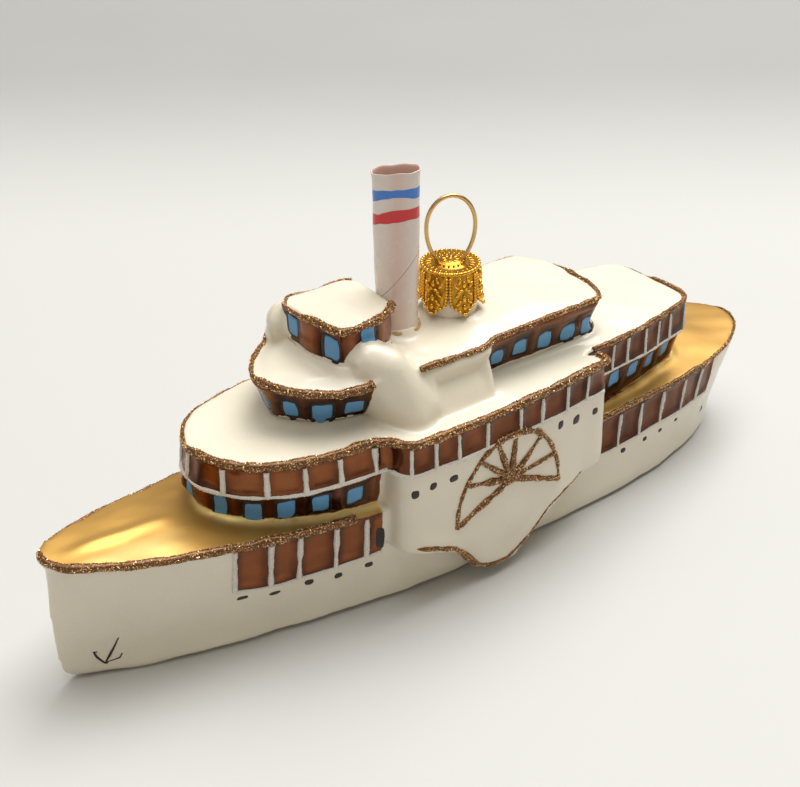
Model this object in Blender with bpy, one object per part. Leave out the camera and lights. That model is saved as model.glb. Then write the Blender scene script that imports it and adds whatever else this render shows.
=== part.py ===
"""A blown glass ornament in the shape of a paddle steamer.

Frame: metres, +X to the bow, +Y to port, +Z up, origin on the floor under the middle of the hull.
The sizes below are in millimetres and are scaled by MM where a mesh is made.

One closed glass shell is hull, decks, houses and paddle boxes. A glass funnel is glued to its roof.
A stamped metal cap sits on the neck, and a wire hanger goes through the cap and down the neck.
Thick lines of glitter glue run along the edges and draw the paddle wheels.
"""

import math

import bmesh
import bpy
from mathutils import Matrix, Vector

MM = 0.001

# Finishes: base colour, roughness, metallic
PEARL = ((0.80, 0.77, 0.68), 0.12, 0.1)
MILK_GLASS = ((0.82, 0.74, 0.72), 0.15, 0.0)
AMBER = ((0.62, 0.36, 0.12), 0.25, 0.0)
GOLD = ((0.80, 0.52, 0.08), 0.22, 1.0)
BRASS = ((0.72, 0.52, 0.24), 0.28, 1.0)
GLITTER = ((0.30, 0.13, 0.05), 0.4, 0.6)
PLAIN = ((0.5, 0.5, 0.5), 0.5, 0.0)

# Glitter glue
BEAD = 0.36
BEAD_GAP = 0.15
BEAD_LIFT = 0.1
BEAD_SIDES = 6

# Hull
HULL_LENGTH = 139.4
BOW = HULL_LENGTH / 2
STERN = -BOW
SHEER = ((STERN, 19.6), (-21.0, 16.8), (0.0, 16.5), (21.0, 18.4), (BOW, 22.8))  # x, deck height
DECK_BREADTH = 14.0
DECK_FORE = (20.8, 1.6, 0.53)  # shoulder x, fullness, roundness
DECK_AFT = (-35.0, 2.8, 0.5)
KEEL_BREADTH = 13.2
DECK_CAMBER = 0.9
FORE_STEPS = 12
AFT_STEPS = 9

# Promenade deck, its house and the paddle boxes
PROMENADE_Z = 31.4
ROOF_CAMBER = 0.8
BAND_Z = 26.2
BOX_FORE = 19.6
BOX_AFT = -21.4
BOX_WIDEST_X = 6.0
BOX_BREADTH = 18.9
BOX_TAPER = 0.0025
# height, after end, fore end, inset of the wall: the paddle boxes sweep down amidships
BOX_FOOT = (
    (3.0, -3.6, 2.4, 1.6),
    (5.2, -5.4, 6.2, 0.9),
    (9.0, -10.0, 9.6, 0.3),
    (11.6, -14.2, 14.4, 0.0),
    (12.9, -17.5, BOX_FORE - 0.2, 0.0),
)

# After house
AFTER_ROOF_Z = 31.6
AFTER_END = -50.0
AFTER_CORNER = 2.6

# Deckhouse and its white forward panels
HOUSE_ROOF_Z = 39.4
HOUSE_CROWN = 0.9
HOUSE_END = -28.6
PANEL_BREADTH = 12.2
PANEL_CROWN = 0.6

# Bridge and wheelhouse
BRIDGE_Z = 39.6
BRIDGE_TIP = 32.9
BRIDGE_CROWN = 1.3
WHEELHOUSE_ROOF_Z = 47.0
WHEELHOUSE_CROWN = 0.9

# Neck, cap and hanger share one upright axis
NECK_X = -2.9
NECK_RADIUS = 4.4
NECK_BORE = 3.8
NECK_TOP = 47.9
BORE_FLOOR = 26.0
SEAT_GAP = 0.3
CAP_RADIUS = 5.0
CAP_WALL = 0.35
CAP_TIPS = 40.7
CAP_SLIT_TOP = 47.2
CAP_FORK = 44.0
PETALS = 8
BOSS_RADIUS = 2.2
WIRE = 0.8
WIRE_SIDES = 8
WIRE_HOLE = 1.4
LEG_X = 3.0
LEG_FOOT = 30.0
RING_RADIUS = 4.75
RING_Z = 55.2

# Funnel
FUNNEL_X = 7.6
FUNNEL_FOOT = 3.0
FUNNEL_MOUTH = 3.7
FUNNEL_WALL = 0.4
FUNNEL_TOP = 67.0
FUNNEL_SEAT_Z = 40.6

# Paddle wheel drawn on each paddle box
WHEEL_X = -0.3
WHEEL_HUB_Z = 18.4
WHEEL_FOOT_Z = 14.0
WHEEL_HALF_WIDTH = 10.8
WHEEL_RISE = 13.1
SPOKES = (-21, 15, 42, 69, 94, 140, 176, 203)  # degrees about the hub, from forward
SPOKE_START = 2.1


def sheer(x):
    """Height of the main deck's edge."""
    for (x0, z0), (x1, z1) in zip(SHEER, SHEER[1:]):
        if x <= x1:
            return z0 + (z1 - z0) * (x - x0) / (x1 - x0)
    return SHEER[-1][1]


def box_breadth(x):
    """Half-breadth of the paddle boxes' outer wall."""
    return BOX_BREADTH - BOX_TAPER * (x - BOX_WIDEST_X) ** 2


def curve_end(tip, shoulder, breadth, fullness, roundness, steps):
    """Half outline from the shoulder out to the tip, as (x, half-breadth)."""
    points = []
    for i in range(steps + 1):
        u = math.sin(math.pi / 2 * i / steps)
        points.append((shoulder + (tip - shoulder) * u, breadth * (1 - u**fullness) ** roundness))
    return points


def hull_outline(tip, stern, breadth, fore, aft):
    """Half outline of the hull; fore and aft are (shoulder x, fullness, roundness)."""
    forward = curve_end(tip, fore[0], breadth, fore[1], fore[2], FORE_STEPS)
    back = curve_end(stern, aft[0], breadth * 0.95, aft[1], aft[2], AFT_STEPS)
    return back[::-1] + forward


def nose_outline(tip, shoulder, breadth, heel, fullness, roundness):
    """Half outline of a house with a rounded front, from its flat heel to its tip."""
    return [(heel, 0.0), (heel, breadth)] + curve_end(tip, shoulder, breadth, fullness, roundness, 9)


def box_outline(aft, fore, breadth, r_aft, r_fore, prow=0.0, steps=4):
    """Half outline of a box with rounded corners; breadth is a function of x."""
    points = [(aft, 0.0)]
    for i in range(steps + 1):
        a = math.pi / 2 * i / steps
        x = aft + r_aft * (1 - math.cos(a))
        points.append((x, breadth(x) - r_aft * (1 - math.sin(a))))
    spans = 4
    for i in range(1, spans):
        x = aft + r_aft + (fore - r_fore - aft - r_aft) * i / spans
        points.append((x, breadth(x)))
    for i in range(steps + 1):
        a = math.pi / 2 * i / steps
        x = fore - r_fore * (1 - math.sin(a))
        points.append((x, breadth(x) - r_fore * (1 - math.cos(a))))
    return points + [(fore + prow, 0.0)]


def mesh_object(name, bm, finish):
    """Scale a bmesh in millimetres to metres and make it an object with its own material."""
    bmesh.ops.transform(bm, matrix=Matrix.Scale(MM, 4), verts=bm.verts)
    mesh = bpy.data.meshes.new(name)
    bm.to_mesh(mesh)
    bm.free()
    item = bpy.data.objects.new(name, mesh)
    bpy.context.collection.objects.link(item)
    paint(item, name, *finish)
    return item


def paint(item, name, colour, rough, metal):
    """Give an object its own Principled BSDF material."""
    material = bpy.data.materials.new(name)
    material.use_nodes = True
    shader = material.node_tree.nodes["Principled BSDF"]
    shader.inputs["Base Color"].default_value = (*colour, 1)
    shader.inputs["Roughness"].default_value = rough
    shader.inputs["Metallic"].default_value = metal
    item.data.materials.append(material)


def half_shell(levels, heights, camber):
    """Loft matching half outlines from the lowest to the highest and mirror them to starboard.

    heights holds a function of x for each level; the top is domed by camber at its widest, easing
    off towards both ends.
    """
    bm = bmesh.new()
    widest = max(w for x, w in levels[-1])
    back, front = levels[-1][0][0], levels[-1][-1][0]

    def dome(x, w):
        return camber * w / widest * min(1, (x - back) / widest, (front - x) / widest)

    low = [bm.verts.new((x, 0, heights[0](x))) for x, w in levels[0]]
    rows = [low]
    for outline, height in zip(levels, heights):
        rows.append([bm.verts.new((x, w, height(x))) for x, w in outline])
    for share, rise in ((0.6, 0.7), (0.0, 1.0)):
        rows.append(
            [
                bm.verts.new((x, w * share, heights[-1](x) + rise * dome(x, w)))
                for x, w in levels[-1]
            ]
        )
    for below, above in zip(rows, rows[1:]):
        for i in range(len(below) - 1):
            bm.faces.new((below[i], below[i + 1], above[i + 1], above[i]))
    bmesh.ops.mirror(bm, geom=bm.verts[:] + bm.edges[:] + bm.faces[:], axis="Y", merge_dist=0.001)
    bmesh.ops.remove_doubles(bm, verts=bm.verts, dist=0.001)
    bmesh.ops.dissolve_degenerate(bm, edges=bm.edges, dist=0.0001)
    bmesh.ops.recalc_face_normals(bm, faces=bm.faces)
    return bm


def flat(z):
    """A level height."""
    return lambda x: z


def part_sheer(share):
    """A height that is a share of the deck's own."""
    return lambda x: share * sheer(x)


def hull():
    keel_fore, keel_aft = (10.0, 1.25, 0.85), (-20.0, 2.6, 0.7)
    # bow x, stern x, half-breadth, bow and stern shapes, share of the deck's height
    rows = (
        (66.4, -62.0, 8.8, keel_fore, keel_aft, 0.0),
        (68.3, -65.0, 12.4, keel_fore, keel_aft, 0.045),
        (68.8, -66.5, KEEL_BREADTH, keel_fore, keel_aft, 0.15),
        (69.3, -68.5, 13.7, (15.0, 1.4, 0.68), (-28.0, 2.7, 0.6), 0.55),
        (BOW, STERN, DECK_BREADTH, DECK_FORE, DECK_AFT, 1.0),
    )
    levels = [hull_outline(*row[:5]) for row in rows]
    return half_shell(levels, [part_sheer(row[5]) for row in rows], DECK_CAMBER)


def promenade_outline():
    return nose_outline(44.6, 20.0, 13.9, 8.0, 2.6, 0.5)


def fore_house():
    """Fore cabin, leaning out up to the overhanging rail band of the promenade deck."""
    levels = [
        nose_outline(43.6, 20.0, 11.8, 8.0, 1.9, 0.5),
        nose_outline(43.9, 20.0, 12.0, 8.0, 1.9, 0.5),
        nose_outline(44.4, 20.0, 12.9, 8.0, 2.0, 0.5),
        nose_outline(45.5, 20.0, 14.5, 8.0, 2.3, 0.5),
        promenade_outline(),
    ]
    return half_shell(levels, [flat(z) for z in (15.0, 19.0, BAND_Z - 0.8, BAND_Z, PROMENADE_Z)], ROOF_CAMBER)


def paddle_boxes():
    """Both paddle boxes as one block through the hull, its foot swept down amidships."""
    rows = BOX_FOOT + ((13.4, BOX_AFT, BOX_FORE, 0.0), (PROMENADE_Z, BOX_AFT, BOX_FORE, 0.0))
    levels = []
    for z, aft, fore, inset in rows:
        corner = min(3.0, (fore - aft) / 3)
        levels.append(box_outline(aft, fore, lambda x: box_breadth(x) - inset, corner / 2, corner))
    return half_shell(levels, [flat(row[0]) for row in rows], ROOF_CAMBER)


def after_breadth(x):
    return 13.1 - 0.0052 * (x + 22) ** 2


def after_roof():
    return box_outline(AFTER_END, -10.0, after_breadth, AFTER_CORNER, 1.0)


def after_house():
    """After cabin, leaning out up to its rail band and roof."""
    # height, after end, inset of the wall
    rows = (
        (15.0, -50.6, 3.0),
        (18.0, -50.4, 2.8),
        (BAND_Z - 1.2, -49.6, 0.9),
        (BAND_Z - 0.4, -50.2, 0.1),
        (AFTER_ROOF_Z, AFTER_END, 0.0),
    )
    levels = []
    for z, end, inset in rows:
        levels.append(box_outline(end, -10.0, lambda x: after_breadth(x) - inset, AFTER_CORNER, 1.0))
    return half_shell(levels, [flat(row[0]) for row in rows], ROOF_CAMBER)


def house_breadth(x):
    return 11.3 + 0.02 * x


def deckhouse():
    """Deckhouse on the promenade deck, with the roof that carries the neck and the funnel."""
    # height, after end, inset of the wall forward and aft
    rows = (
        (29.5, -27.8, 2.6, 1.4),
        (33.5, -28.0, 2.2, 1.1),
        (38.0, -28.8, 0.5, 0.4),
        (HOUSE_ROOF_Z, HOUSE_END, 0.0, 0.0),
    )
    levels = []
    for z, end, fore, aft in rows:
        lean = (fore - aft) / abs(HOUSE_END)
        levels.append(box_outline(end, 15.0, lambda x: house_breadth(x) - fore - lean * x, 3.0, 1.5))
    return half_shell(levels, [flat(row[0]) for row in rows], HOUSE_CROWN)


def panel_outline(grow):
    return box_outline(-2.4, 12.0, lambda x: PANEL_BREADTH + grow, 1.2, 1.2)


def house_panels():
    """White forward part of the deckhouse, standing further out than its windows."""
    levels = [panel_outline(grow) for grow in (2.9, 2.2, 0.0)]
    return half_shell(levels, [flat(z) for z in (30.2, 32.4, HOUSE_ROOF_Z - 0.5)], PANEL_CROWN)


def bridge_outline():
    return nose_outline(BRIDGE_TIP, 18.0, 11.7, 9.0, 2.0, 0.6)


def bridge():
    levels = [
        nose_outline(30.2, 16.0, 7.4, 9.0, 2.6, 0.6),
        nose_outline(30.6, 16.0, 7.9, 9.0, 2.6, 0.6),
        nose_outline(32.3, 17.5, 10.9, 9.0, 2.0, 0.6),
        bridge_outline(),
    ]
    return half_shell(levels, [flat(z) for z in (29.7, 33.0, 38.2, BRIDGE_Z)], BRIDGE_CROWN)


def wheelhouse_outline(grow):
    return box_outline(12.4 - grow, 23.2 + grow / 3, lambda x: 6.5 + grow, 2.2, 1.9, 0.7)


def wheelhouse():
    levels = [wheelhouse_outline(grow) for grow in (0.1, 0.4, 0.7)]
    return half_shell(levels, [flat(z) for z in (38.0, 45.4, WHEELHOUSE_ROOF_Z)], WHEELHOUSE_CROWN)


def chute(side):
    """Rounded buttress from beside the wheelhouse down to the promenade deck, as a hull over balls."""
    # x, y, z, radius
    stops = (
        (18.6, 7.0, 41.2, 3.3),
        (15.9, 9.2, 39.9, 3.2),
        (11.5, 11.8, 33.2, 3.1),
        (13.6, 12.8, 31.6, 2.9),
        (15.8, 8.6, 31.4, 3.1),
    )
    bm = bmesh.new()
    for x, y, z, radius in stops:
        place = Matrix.Translation((x, side * y, z))
        bmesh.ops.create_uvsphere(bm, u_segments=12, v_segments=8, radius=radius, matrix=place)
    bmesh.ops.delete(bm, geom=bm.edges, context="EDGES_FACES")
    bmesh.ops.convex_hull(bm, input=bm.verts)
    bmesh.ops.delete(bm, geom=[v for v in bm.verts if not v.link_faces], context="VERTS")
    bmesh.ops.recalc_face_normals(bm, faces=bm.faces)
    return bm


def turned(profile, x, steps):
    """A round piece about an upright axis from its closed (radius, z) profile."""
    bm = bmesh.new()
    start = Matrix.Rotation(math.pi / steps, 3, "Z")
    points = [bm.verts.new(start @ Vector((r, 0, z))) for r, z in profile]
    edges = [bm.edges.new((a, b)) for a, b in zip(points, points[1:] + points[:1])]
    axle = {"axis": (0, 0, 1), "cent": (0, 0, 0)}
    bmesh.ops.spin(bm, geom=points + edges, **axle, angle=2 * math.pi, steps=steps, use_merge=True)
    bmesh.ops.remove_doubles(bm, verts=bm.verts, dist=0.001)
    bmesh.ops.recalc_face_normals(bm, faces=bm.faces)
    bmesh.ops.translate(bm, verts=bm.verts, vec=(x, 0, 0))
    return bm


def drum(radius, low, high, x, steps):
    """A plain round bar standing upright on the centreline."""
    bm = bmesh.new()
    place = Matrix.Translation((x, 0, (low + high) / 2))
    bmesh.ops.create_cone(
        bm, cap_ends=True, segments=steps, radius1=radius, radius2=radius, depth=high - low, matrix=place
    )
    return bm


def guide(bm, name):
    """An object that only cuts or joins another."""
    item = mesh_object(name, bm, PLAIN)
    item.hide_render = True
    item.display_type = "WIRE"
    return item


def combine(item, other, operation):
    """Add an exact Boolean that joins or cuts with another object."""
    boolean = item.modifiers.new(other.name, "BOOLEAN")
    boolean.operation = operation
    boolean.solver = "EXACT"
    boolean.object = other


def glass_body():
    body = mesh_object("glass_body", hull(), PEARL)
    forms = [fore_house(), paddle_boxes(), after_house(), deckhouse(), house_panels(), bridge()]
    forms += [wheelhouse(), chute(1), chute(-1)]
    forms.append(drum(FUNNEL_FOOT + 0.5, 37.0, FUNNEL_SEAT_Z, FUNNEL_X, 24))
    forms.append(drum(NECK_RADIUS, 36.0, NECK_TOP, NECK_X, 32))
    for index, form in enumerate(forms):
        combine(body, guide(form, f"form_{index}"), "UNION")
    bore = drum(NECK_BORE, BORE_FLOOR, NECK_TOP + 5, NECK_X, 32)
    combine(body, guide(bore, "neck_bore"), "DIFFERENCE")


def funnel():
    """Drawn glass tube, a little wider at its mouth, with a rolled lip."""
    foot = FUNNEL_SEAT_Z + SEAT_GAP
    lip = FUNNEL_TOP - 1.2
    outer = [(FUNNEL_FOOT, foot), (FUNNEL_FOOT + 0.35, 54.0)]
    outer += [(FUNNEL_MOUTH - 0.3, lip), (FUNNEL_MOUTH, FUNNEL_TOP)]
    inner = [(r - FUNNEL_WALL, z) for r, z in outer]
    mesh_object("funnel", turned(outer + inner[::-1], FUNNEL_X, 32), MILK_GLASS)


def funnel_glue():
    """Amber ring of glue round the funnel's foot."""
    inner = FUNNEL_FOOT + 0.25
    low = FUNNEL_SEAT_Z + 0.25
    profile = [(inner, low), (inner + 0.7, low), (inner + 0.5, low + 0.5), (inner, low + 0.8)]
    mesh_object("funnel_glue", turned(profile, FUNNEL_X, 24), AMBER)


def cap():
    """Stamped crown cap: a disc with a boss, and a skirt slit into pointed petals."""
    under = NECK_TOP + SEAT_GAP
    top = under + CAP_WALL
    inner = CAP_RADIUS - CAP_WALL
    profile = [
        (0.0, top + 0.9),
        (BOSS_RADIUS - 0.5, top + 0.7),
        (BOSS_RADIUS, top),
        (CAP_RADIUS - 0.4, top),
        (CAP_RADIUS, top - 0.5),
        (CAP_RADIUS, CAP_TIPS),
        (inner, CAP_TIPS),
        (inner, under),
        (0.0, under),
    ]
    item = mesh_object("cap", turned(profile, NECK_X, 48), GOLD)
    depth = CAP_SLIT_TOP - CAP_TIPS
    fork = CAP_FORK - CAP_TIPS
    for index in range(PETALS // 2):
        bm = bmesh.new()
        wide = 2 * CAP_RADIUS * math.sin(math.pi / PETALS)
        shape = ((0.18, depth), (0.18, fork), (wide / 2, -0.4))
        ends = []
        for y in (-2 * CAP_RADIUS, 2 * CAP_RADIUS):
            ring = [(x, z) for x, z in shape] + [(-x, z) for x, z in shape[::-1]]
            ends.append([bm.verts.new((x, y, z)) for x, z in ring])
        bm.faces.new(ends[0])
        bm.faces.new(ends[1][::-1])
        count = len(ends[0])
        for i in range(count):
            j = (i + 1) % count
            bm.faces.new((ends[0][j], ends[0][i], ends[1][i], ends[1][j]))
        bmesh.ops.recalc_face_normals(bm, faces=bm.faces)
        turn = Matrix.Rotation(math.pi * (index + 0.5) * 2 / PETALS, 4, "Z")
        bmesh.ops.transform(bm, matrix=Matrix.Translation((NECK_X, 0, CAP_TIPS)) @ turn, verts=bm.verts)
        combine(item, guide(bm, f"petal_slit_{index}"), "DIFFERENCE")
    for side in (-1, 1):
        hole = drum(WIRE_HOLE / 2, under - 1, top + 1, NECK_X + side * LEG_X, 16)
        combine(item, guide(hole, f"wire_hole_{side + 1}"), "DIFFERENCE")


def tube(name, route, radius, sides, finish):
    """A tube along a route of points in millimetres, as a curve with a round bevel."""
    curve = bpy.data.curves.new(name, "CURVE")
    curve.dimensions = "3D"
    curve.bevel_depth = radius * MM
    curve.bevel_resolution = (sides - 4) // 2
    curve.use_fill_caps = True
    spline = curve.splines.new("POLY")
    spline.points.add(len(route) - 1)
    for point, place in zip(spline.points, route):
        point.co = (*[value * MM for value in place], 1)
    item = bpy.data.objects.new(name, curve)
    bpy.context.collection.objects.link(item)
    paint(item, name, *finish)


def hanger():
    """Brass wire bent to a ring, its two legs running down through the cap into the neck."""
    route = []
    join = math.asin(LEG_X / RING_RADIUS)
    steps = 24
    for i in range(steps + 1):
        a = join + (2 * math.pi - 2 * join) * i / steps
        route.append((NECK_X + RING_RADIUS * math.sin(a), 0.0, RING_Z - RING_RADIUS * math.cos(a)))
    shoulder = RING_Z - RING_RADIUS * math.cos(join) - 1.4
    legs = [shoulder, LEG_FOOT + 14.0, LEG_FOOT + 7.0, LEG_FOOT]
    first = [(NECK_X + LEG_X, 0.0, z) for z in legs[::-1]]
    last = [(NECK_X - LEG_X, 0.0, z) for z in legs]
    tube("hanger", first + route + last, WIRE / 2, WIRE_SIDES, BRASS)


def clip(outline, start, stop):
    """The part of a half outline between two values of x, cut exactly at both."""
    kept = []
    for (x0, w0), (x1, w1) in zip(outline, outline[1:]):
        for cut in (start, stop):
            if min(x0, x1) < cut < max(x0, x1):
                kept.append((cut, w0 + (w1 - w0) * (cut - x0) / (x1 - x0)))
        if start < x1 < stop:
            kept.append((x1, w1))
    return kept


def edge_line(outline, height):
    """A line just off an edge: along the port half outline, round, and back along the starboard one."""
    whole = list(outline) + [(x, -w) for x, w in outline[::-1] if w > 0.01]
    off = BEAD + BEAD_GAP
    out = off * math.sqrt(1 - BEAD_LIFT**2)
    middle = Vector((sum(x for x, y in whole) / len(whole), 0))
    line = []
    for i, (x, y) in enumerate(whole):
        before = whole[max(i - 1, 0)]
        after = whole[min(i + 1, len(whole) - 1)]
        run = Vector((after[0] - before[0], after[1] - before[1])).normalized()
        side = Vector((-run.y, run.x))
        if side.dot(Vector((x, y)) - middle) < 0:
            side.negate()
        line.append((x + side.x * out, y + side.y * out, height(x) + off * BEAD_LIFT))
    return line


def bead(name, line):
    """One line of glitter glue."""
    tube(name, line, BEAD, BEAD_SIDES, GLITTER)


def deck_edge():
    return hull_outline(BOW, STERN, DECK_BREADTH, DECK_FORE, DECK_AFT)


def edge_beads():
    """The glitter lines that follow the edges of the decks and roofs."""
    bead("bead_fore_gunwale", edge_line(clip(deck_edge(), BOX_FORE + 1.4, BOW + 1), sheer))
    bead("bead_aft_gunwale", edge_line(clip(deck_edge()[::-1], STERN - 1, BOX_AFT - 1.4), sheer))
    box = box_outline(BOX_AFT, BOX_FORE, box_breadth, 1.5, 3.0)
    side = [p for p in box if p[0] < BOX_FORE - 0.1 and p[1] > 16.0]
    front = [p for p in promenade_outline() if p[0] > 20.5]
    bead("bead_promenade", edge_line(side + front, flat(PROMENADE_Z)))
    roof = clip(after_roof()[::-1], AFTER_END - 1, BOX_AFT - 1.4)
    bead("bead_after_roof", edge_line(roof, flat(AFTER_ROOF_Z)))
    bead("bead_bridge", edge_line(clip(bridge_outline(), 20.3, BRIDGE_TIP + 1), flat(BRIDGE_Z)))
    top = [p for p in wheelhouse_outline(0.7) if p[0] > 13.0]
    bead("bead_wheelhouse", edge_line(top, flat(WHEELHOUSE_ROOF_Z)))
    house = box_outline(HOUSE_END, 15.0, house_breadth, 3.0, 1.5)
    bead("bead_deckhouse", edge_line(clip(house[::-1], HOUSE_END - 1, -4.2), flat(HOUSE_ROOF_Z)))


def rim_reach(turn, grow):
    """Distance from the hub to the arched rim in one direction; grow widens the arch."""
    rise, run = math.sin(turn), math.cos(turn)
    wide, tall = WHEEL_HALF_WIDTH + grow, WHEEL_RISE + grow
    drop = WHEEL_HUB_Z - WHEEL_FOOT_Z
    square = (run / wide) ** 2 + (rise / tall) ** 2
    middle = rise * drop / tall**2
    rest = (drop / tall) ** 2 - 1
    return (math.sqrt(middle**2 - square * rest) - middle) / square


def wheel_bead(name, side):
    """Half a paddle wheel of glitter glue on a box's outer wall: an arched rim, a hub and its spokes."""
    bm = bmesh.new()

    def corner(turn, reach):
        return bm.verts.new((WHEEL_X + reach * math.cos(turn), 0, WHEEL_HUB_Z + reach * math.sin(turn)))

    hub = []
    inner = []
    outer = []
    feet = []
    for index, degrees in enumerate(SPOKES):
        turn = math.radians(degrees)
        reach = rim_reach(turn, -BEAD)
        near, far = math.asin(BEAD * 0.8 / SPOKE_START), math.asin(BEAD / reach)
        if index:
            last = math.radians(SPOKES[index - 1])
            for step in (1, 2):
                between = last + (turn - last) * step / 3
                inner.append(corner(between, rim_reach(between, -BEAD)))
                outer.append(corner(between, rim_reach(between, BEAD)))
        feet.append(len(inner))
        for part in (-1, 1):
            hub.append(corner(turn + part * near, SPOKE_START))
            inner.append(corner(turn + part * far, rim_reach(turn + part * far, -BEAD)))
            outer.append(corner(turn + part * far, rim_reach(turn + part * far, BEAD)))
    bm.faces.new(hub)
    for index, foot in enumerate(feet):
        bm.faces.new((hub[2 * index + 1], hub[2 * index], inner[foot], inner[foot + 1]))
    for i in range(len(inner) - 1):
        bm.faces.new((inner[i + 1], inner[i], outer[i], outer[i + 1]))
    made = bmesh.ops.extrude_face_region(bm, geom=bm.faces[:])["geom"]
    raised = [v for v in made if isinstance(v, bmesh.types.BMVert)]
    bmesh.ops.translate(bm, verts=raised, vec=(0, 2 * BEAD, 0))
    for vert in bm.verts:
        vert.co.y += box_breadth(vert.co.x) + BEAD_GAP
        vert.co.y *= side
    bmesh.ops.recalc_face_normals(bm, faces=bm.faces)
    if bm.calc_volume(signed=True) < 0:
        bmesh.ops.reverse_faces(bm, faces=bm.faces)
    mesh_object(name, bm, GLITTER)


def foot_line():
    """The swept foot of a paddle box, from its after end to its fore end."""
    line = [(row[1], row[0], row[3]) for row in BOX_FOOT[::-1]]
    line += [(row[2], row[0], row[3]) for row in BOX_FOOT]
    return [(x, box_breadth(x) - inset + BEAD + BEAD_GAP, z) for x, z, inset in line]


def box_beads():
    """The paddle wheels and the foot lines drawn on both paddle boxes."""
    for word, side in (("port", 1), ("starboard", -1)):
        wheel_bead(f"bead_wheel_{word}", side)
        bead(f"bead_foot_{word}", [(x, side * y, z) for x, y, z in foot_line()])


def main():
    for item in list(bpy.data.objects):
        bpy.data.objects.remove(item)
    glass_body()
    funnel()
    funnel_glue()
    cap()
    hanger()
    edge_beads()
    box_beads()


main()
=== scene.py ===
"""Looks of a blown glass paddle steamer ornament, built round its packed frame.

Lengths in the code are millimetres unless a name says otherwise, in the frame's own axes: +X to the bow,
+Y to port, +Z up, with the origin on the floor under the middle of the hull. Properties with a length unit
are metres, as everywhere in Blender.
"""

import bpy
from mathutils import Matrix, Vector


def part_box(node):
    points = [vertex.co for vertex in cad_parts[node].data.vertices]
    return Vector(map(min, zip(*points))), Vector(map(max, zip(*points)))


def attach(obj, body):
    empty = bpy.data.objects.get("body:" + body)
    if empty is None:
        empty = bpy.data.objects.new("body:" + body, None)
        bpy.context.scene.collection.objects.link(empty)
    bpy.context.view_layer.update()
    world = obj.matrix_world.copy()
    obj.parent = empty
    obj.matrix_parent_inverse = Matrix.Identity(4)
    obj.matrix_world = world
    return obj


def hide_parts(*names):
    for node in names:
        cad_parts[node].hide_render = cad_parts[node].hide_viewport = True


bl_info = {
    "name": "Paddle Steamer Glass Ornament",
    "version": (1, 0, 0),
    "blender": (4, 5, 0),
    "location": "3D View > Sidebar > Ornament",
    "description": "Builds the ornament's painted glass shell, glitter, windows, funnel, cap and wire",
    "category": "Add Mesh",
}

import functools
import math

import bmesh
import bpy
import numpy as np
from mathutils import Matrix, Vector
from mathutils.bvhtree import BVHTree

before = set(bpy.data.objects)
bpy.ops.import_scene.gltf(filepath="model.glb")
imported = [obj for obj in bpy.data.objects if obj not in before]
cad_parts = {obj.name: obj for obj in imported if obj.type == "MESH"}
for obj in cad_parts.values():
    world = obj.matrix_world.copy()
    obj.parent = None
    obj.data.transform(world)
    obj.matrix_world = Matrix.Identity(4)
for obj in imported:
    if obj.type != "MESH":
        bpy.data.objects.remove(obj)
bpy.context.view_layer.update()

MM = 0.001
UP = Vector((0, 0, 1))
SIDES = (1, -1)
SIDE_WORDS = ((1, "port"), (-1, "starboard"))

# Hull and decks, as in the frame
BOW = 69.7
STERN = -BOW
SHEER = ((STERN, 19.6), (-21.0, 16.8), (0.0, 16.5), (21.0, 18.4), (BOW, 22.8))  # x, deck height
DECK_BREADTH = 14.0
DECK_CAMBER = 0.9
DECK_FORE = (20.8, 1.6, 0.53)  # x of the shoulder, fullness, roundness
DECK_AFT = (-35.0, 2.8, 0.5)
BOX_FORE = 19.6
BOX_AFT = -21.4
BOX_END = -23.3
BOX_BREADTH = 18.9
BOX_EDGE = (
    (-21.4, 13.4),
    (-17.5, 12.9),
    (-14.2, 11.6),
    (-10.0, 9.0),
    (-5.4, 5.2),
    (-3.6, 3.0),
    (2.4, 3.0),
    (6.2, 5.2),
    (9.6, 9.0),
    (14.4, 11.6),
    (19.4, 12.9),
)  # x, height of the box's swept foot
PROMENADE_Z = 31.4
BAND_Z = 26.2
AFTER_ROOF_Z = 31.6
AFTER_END = -50.0
HOUSE_ROOF_Z = 39.4
HOUSE_END = -28.6
PANEL_AFT = -2.4
PANEL_BREADTH = 12.2
BRIDGE_Z = 39.6
BRIDGE_TIP = 32.9
WHEELHOUSE_ROOF_Z = 47.0
WHEELHOUSE_AFT = 12.4
WHEELHOUSE_TUCK = 2.3  # by which its port after corner is drawn in
NECK_X = -2.9
NECK_RADIUS = 4.4
NECK_TOP = 47.9
FRAME_BORE = 3.8
NECK_BORE = 3.65
BORE_FLOOR = 26.0
FUNNEL_X = 7.6
FUNNEL_SEAT_Z = 40.6

# Painted rail bands on the hull: from x to x, with the height of their foot
FORE_RAIL = (20.6, 45.2)
AFTER_RAIL = (-55.7, BOX_END - 0.1)
RAIL_FOOT = (
    (-56.0, 10.9),
    (-42.0, 10.7),
    (-36.3, 10.2),
    (-29.0, 9.6),
    (20.0, 10.4),
    (38.0, 10.2),
    (46.0, 11.3),
)

# White glitter bars that part each band into panels, by x
FORE_RAIL_BARS = (45.2, 39.6, 34.9, 28.8, 23.5)
AFTER_RAIL_BARS = (-30.6, -35.7, -41.2, -47.0, -51.9)
BOX_BARS = (18.4, 14.0, 9.8, 4.2, -2.5, -7.3, -13.0, -17.8)
AFTER_BARS = (-28.0, -31.8, -36.5, -40.2, -43.8, -48.5)
NOSE_BARS = ((44.9, -1.4), (43.4, 5.6), (38.6, 10.2), (33.4, 12.5), (28.0, 13.8), (22.1, 14.2))  # x, y

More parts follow.
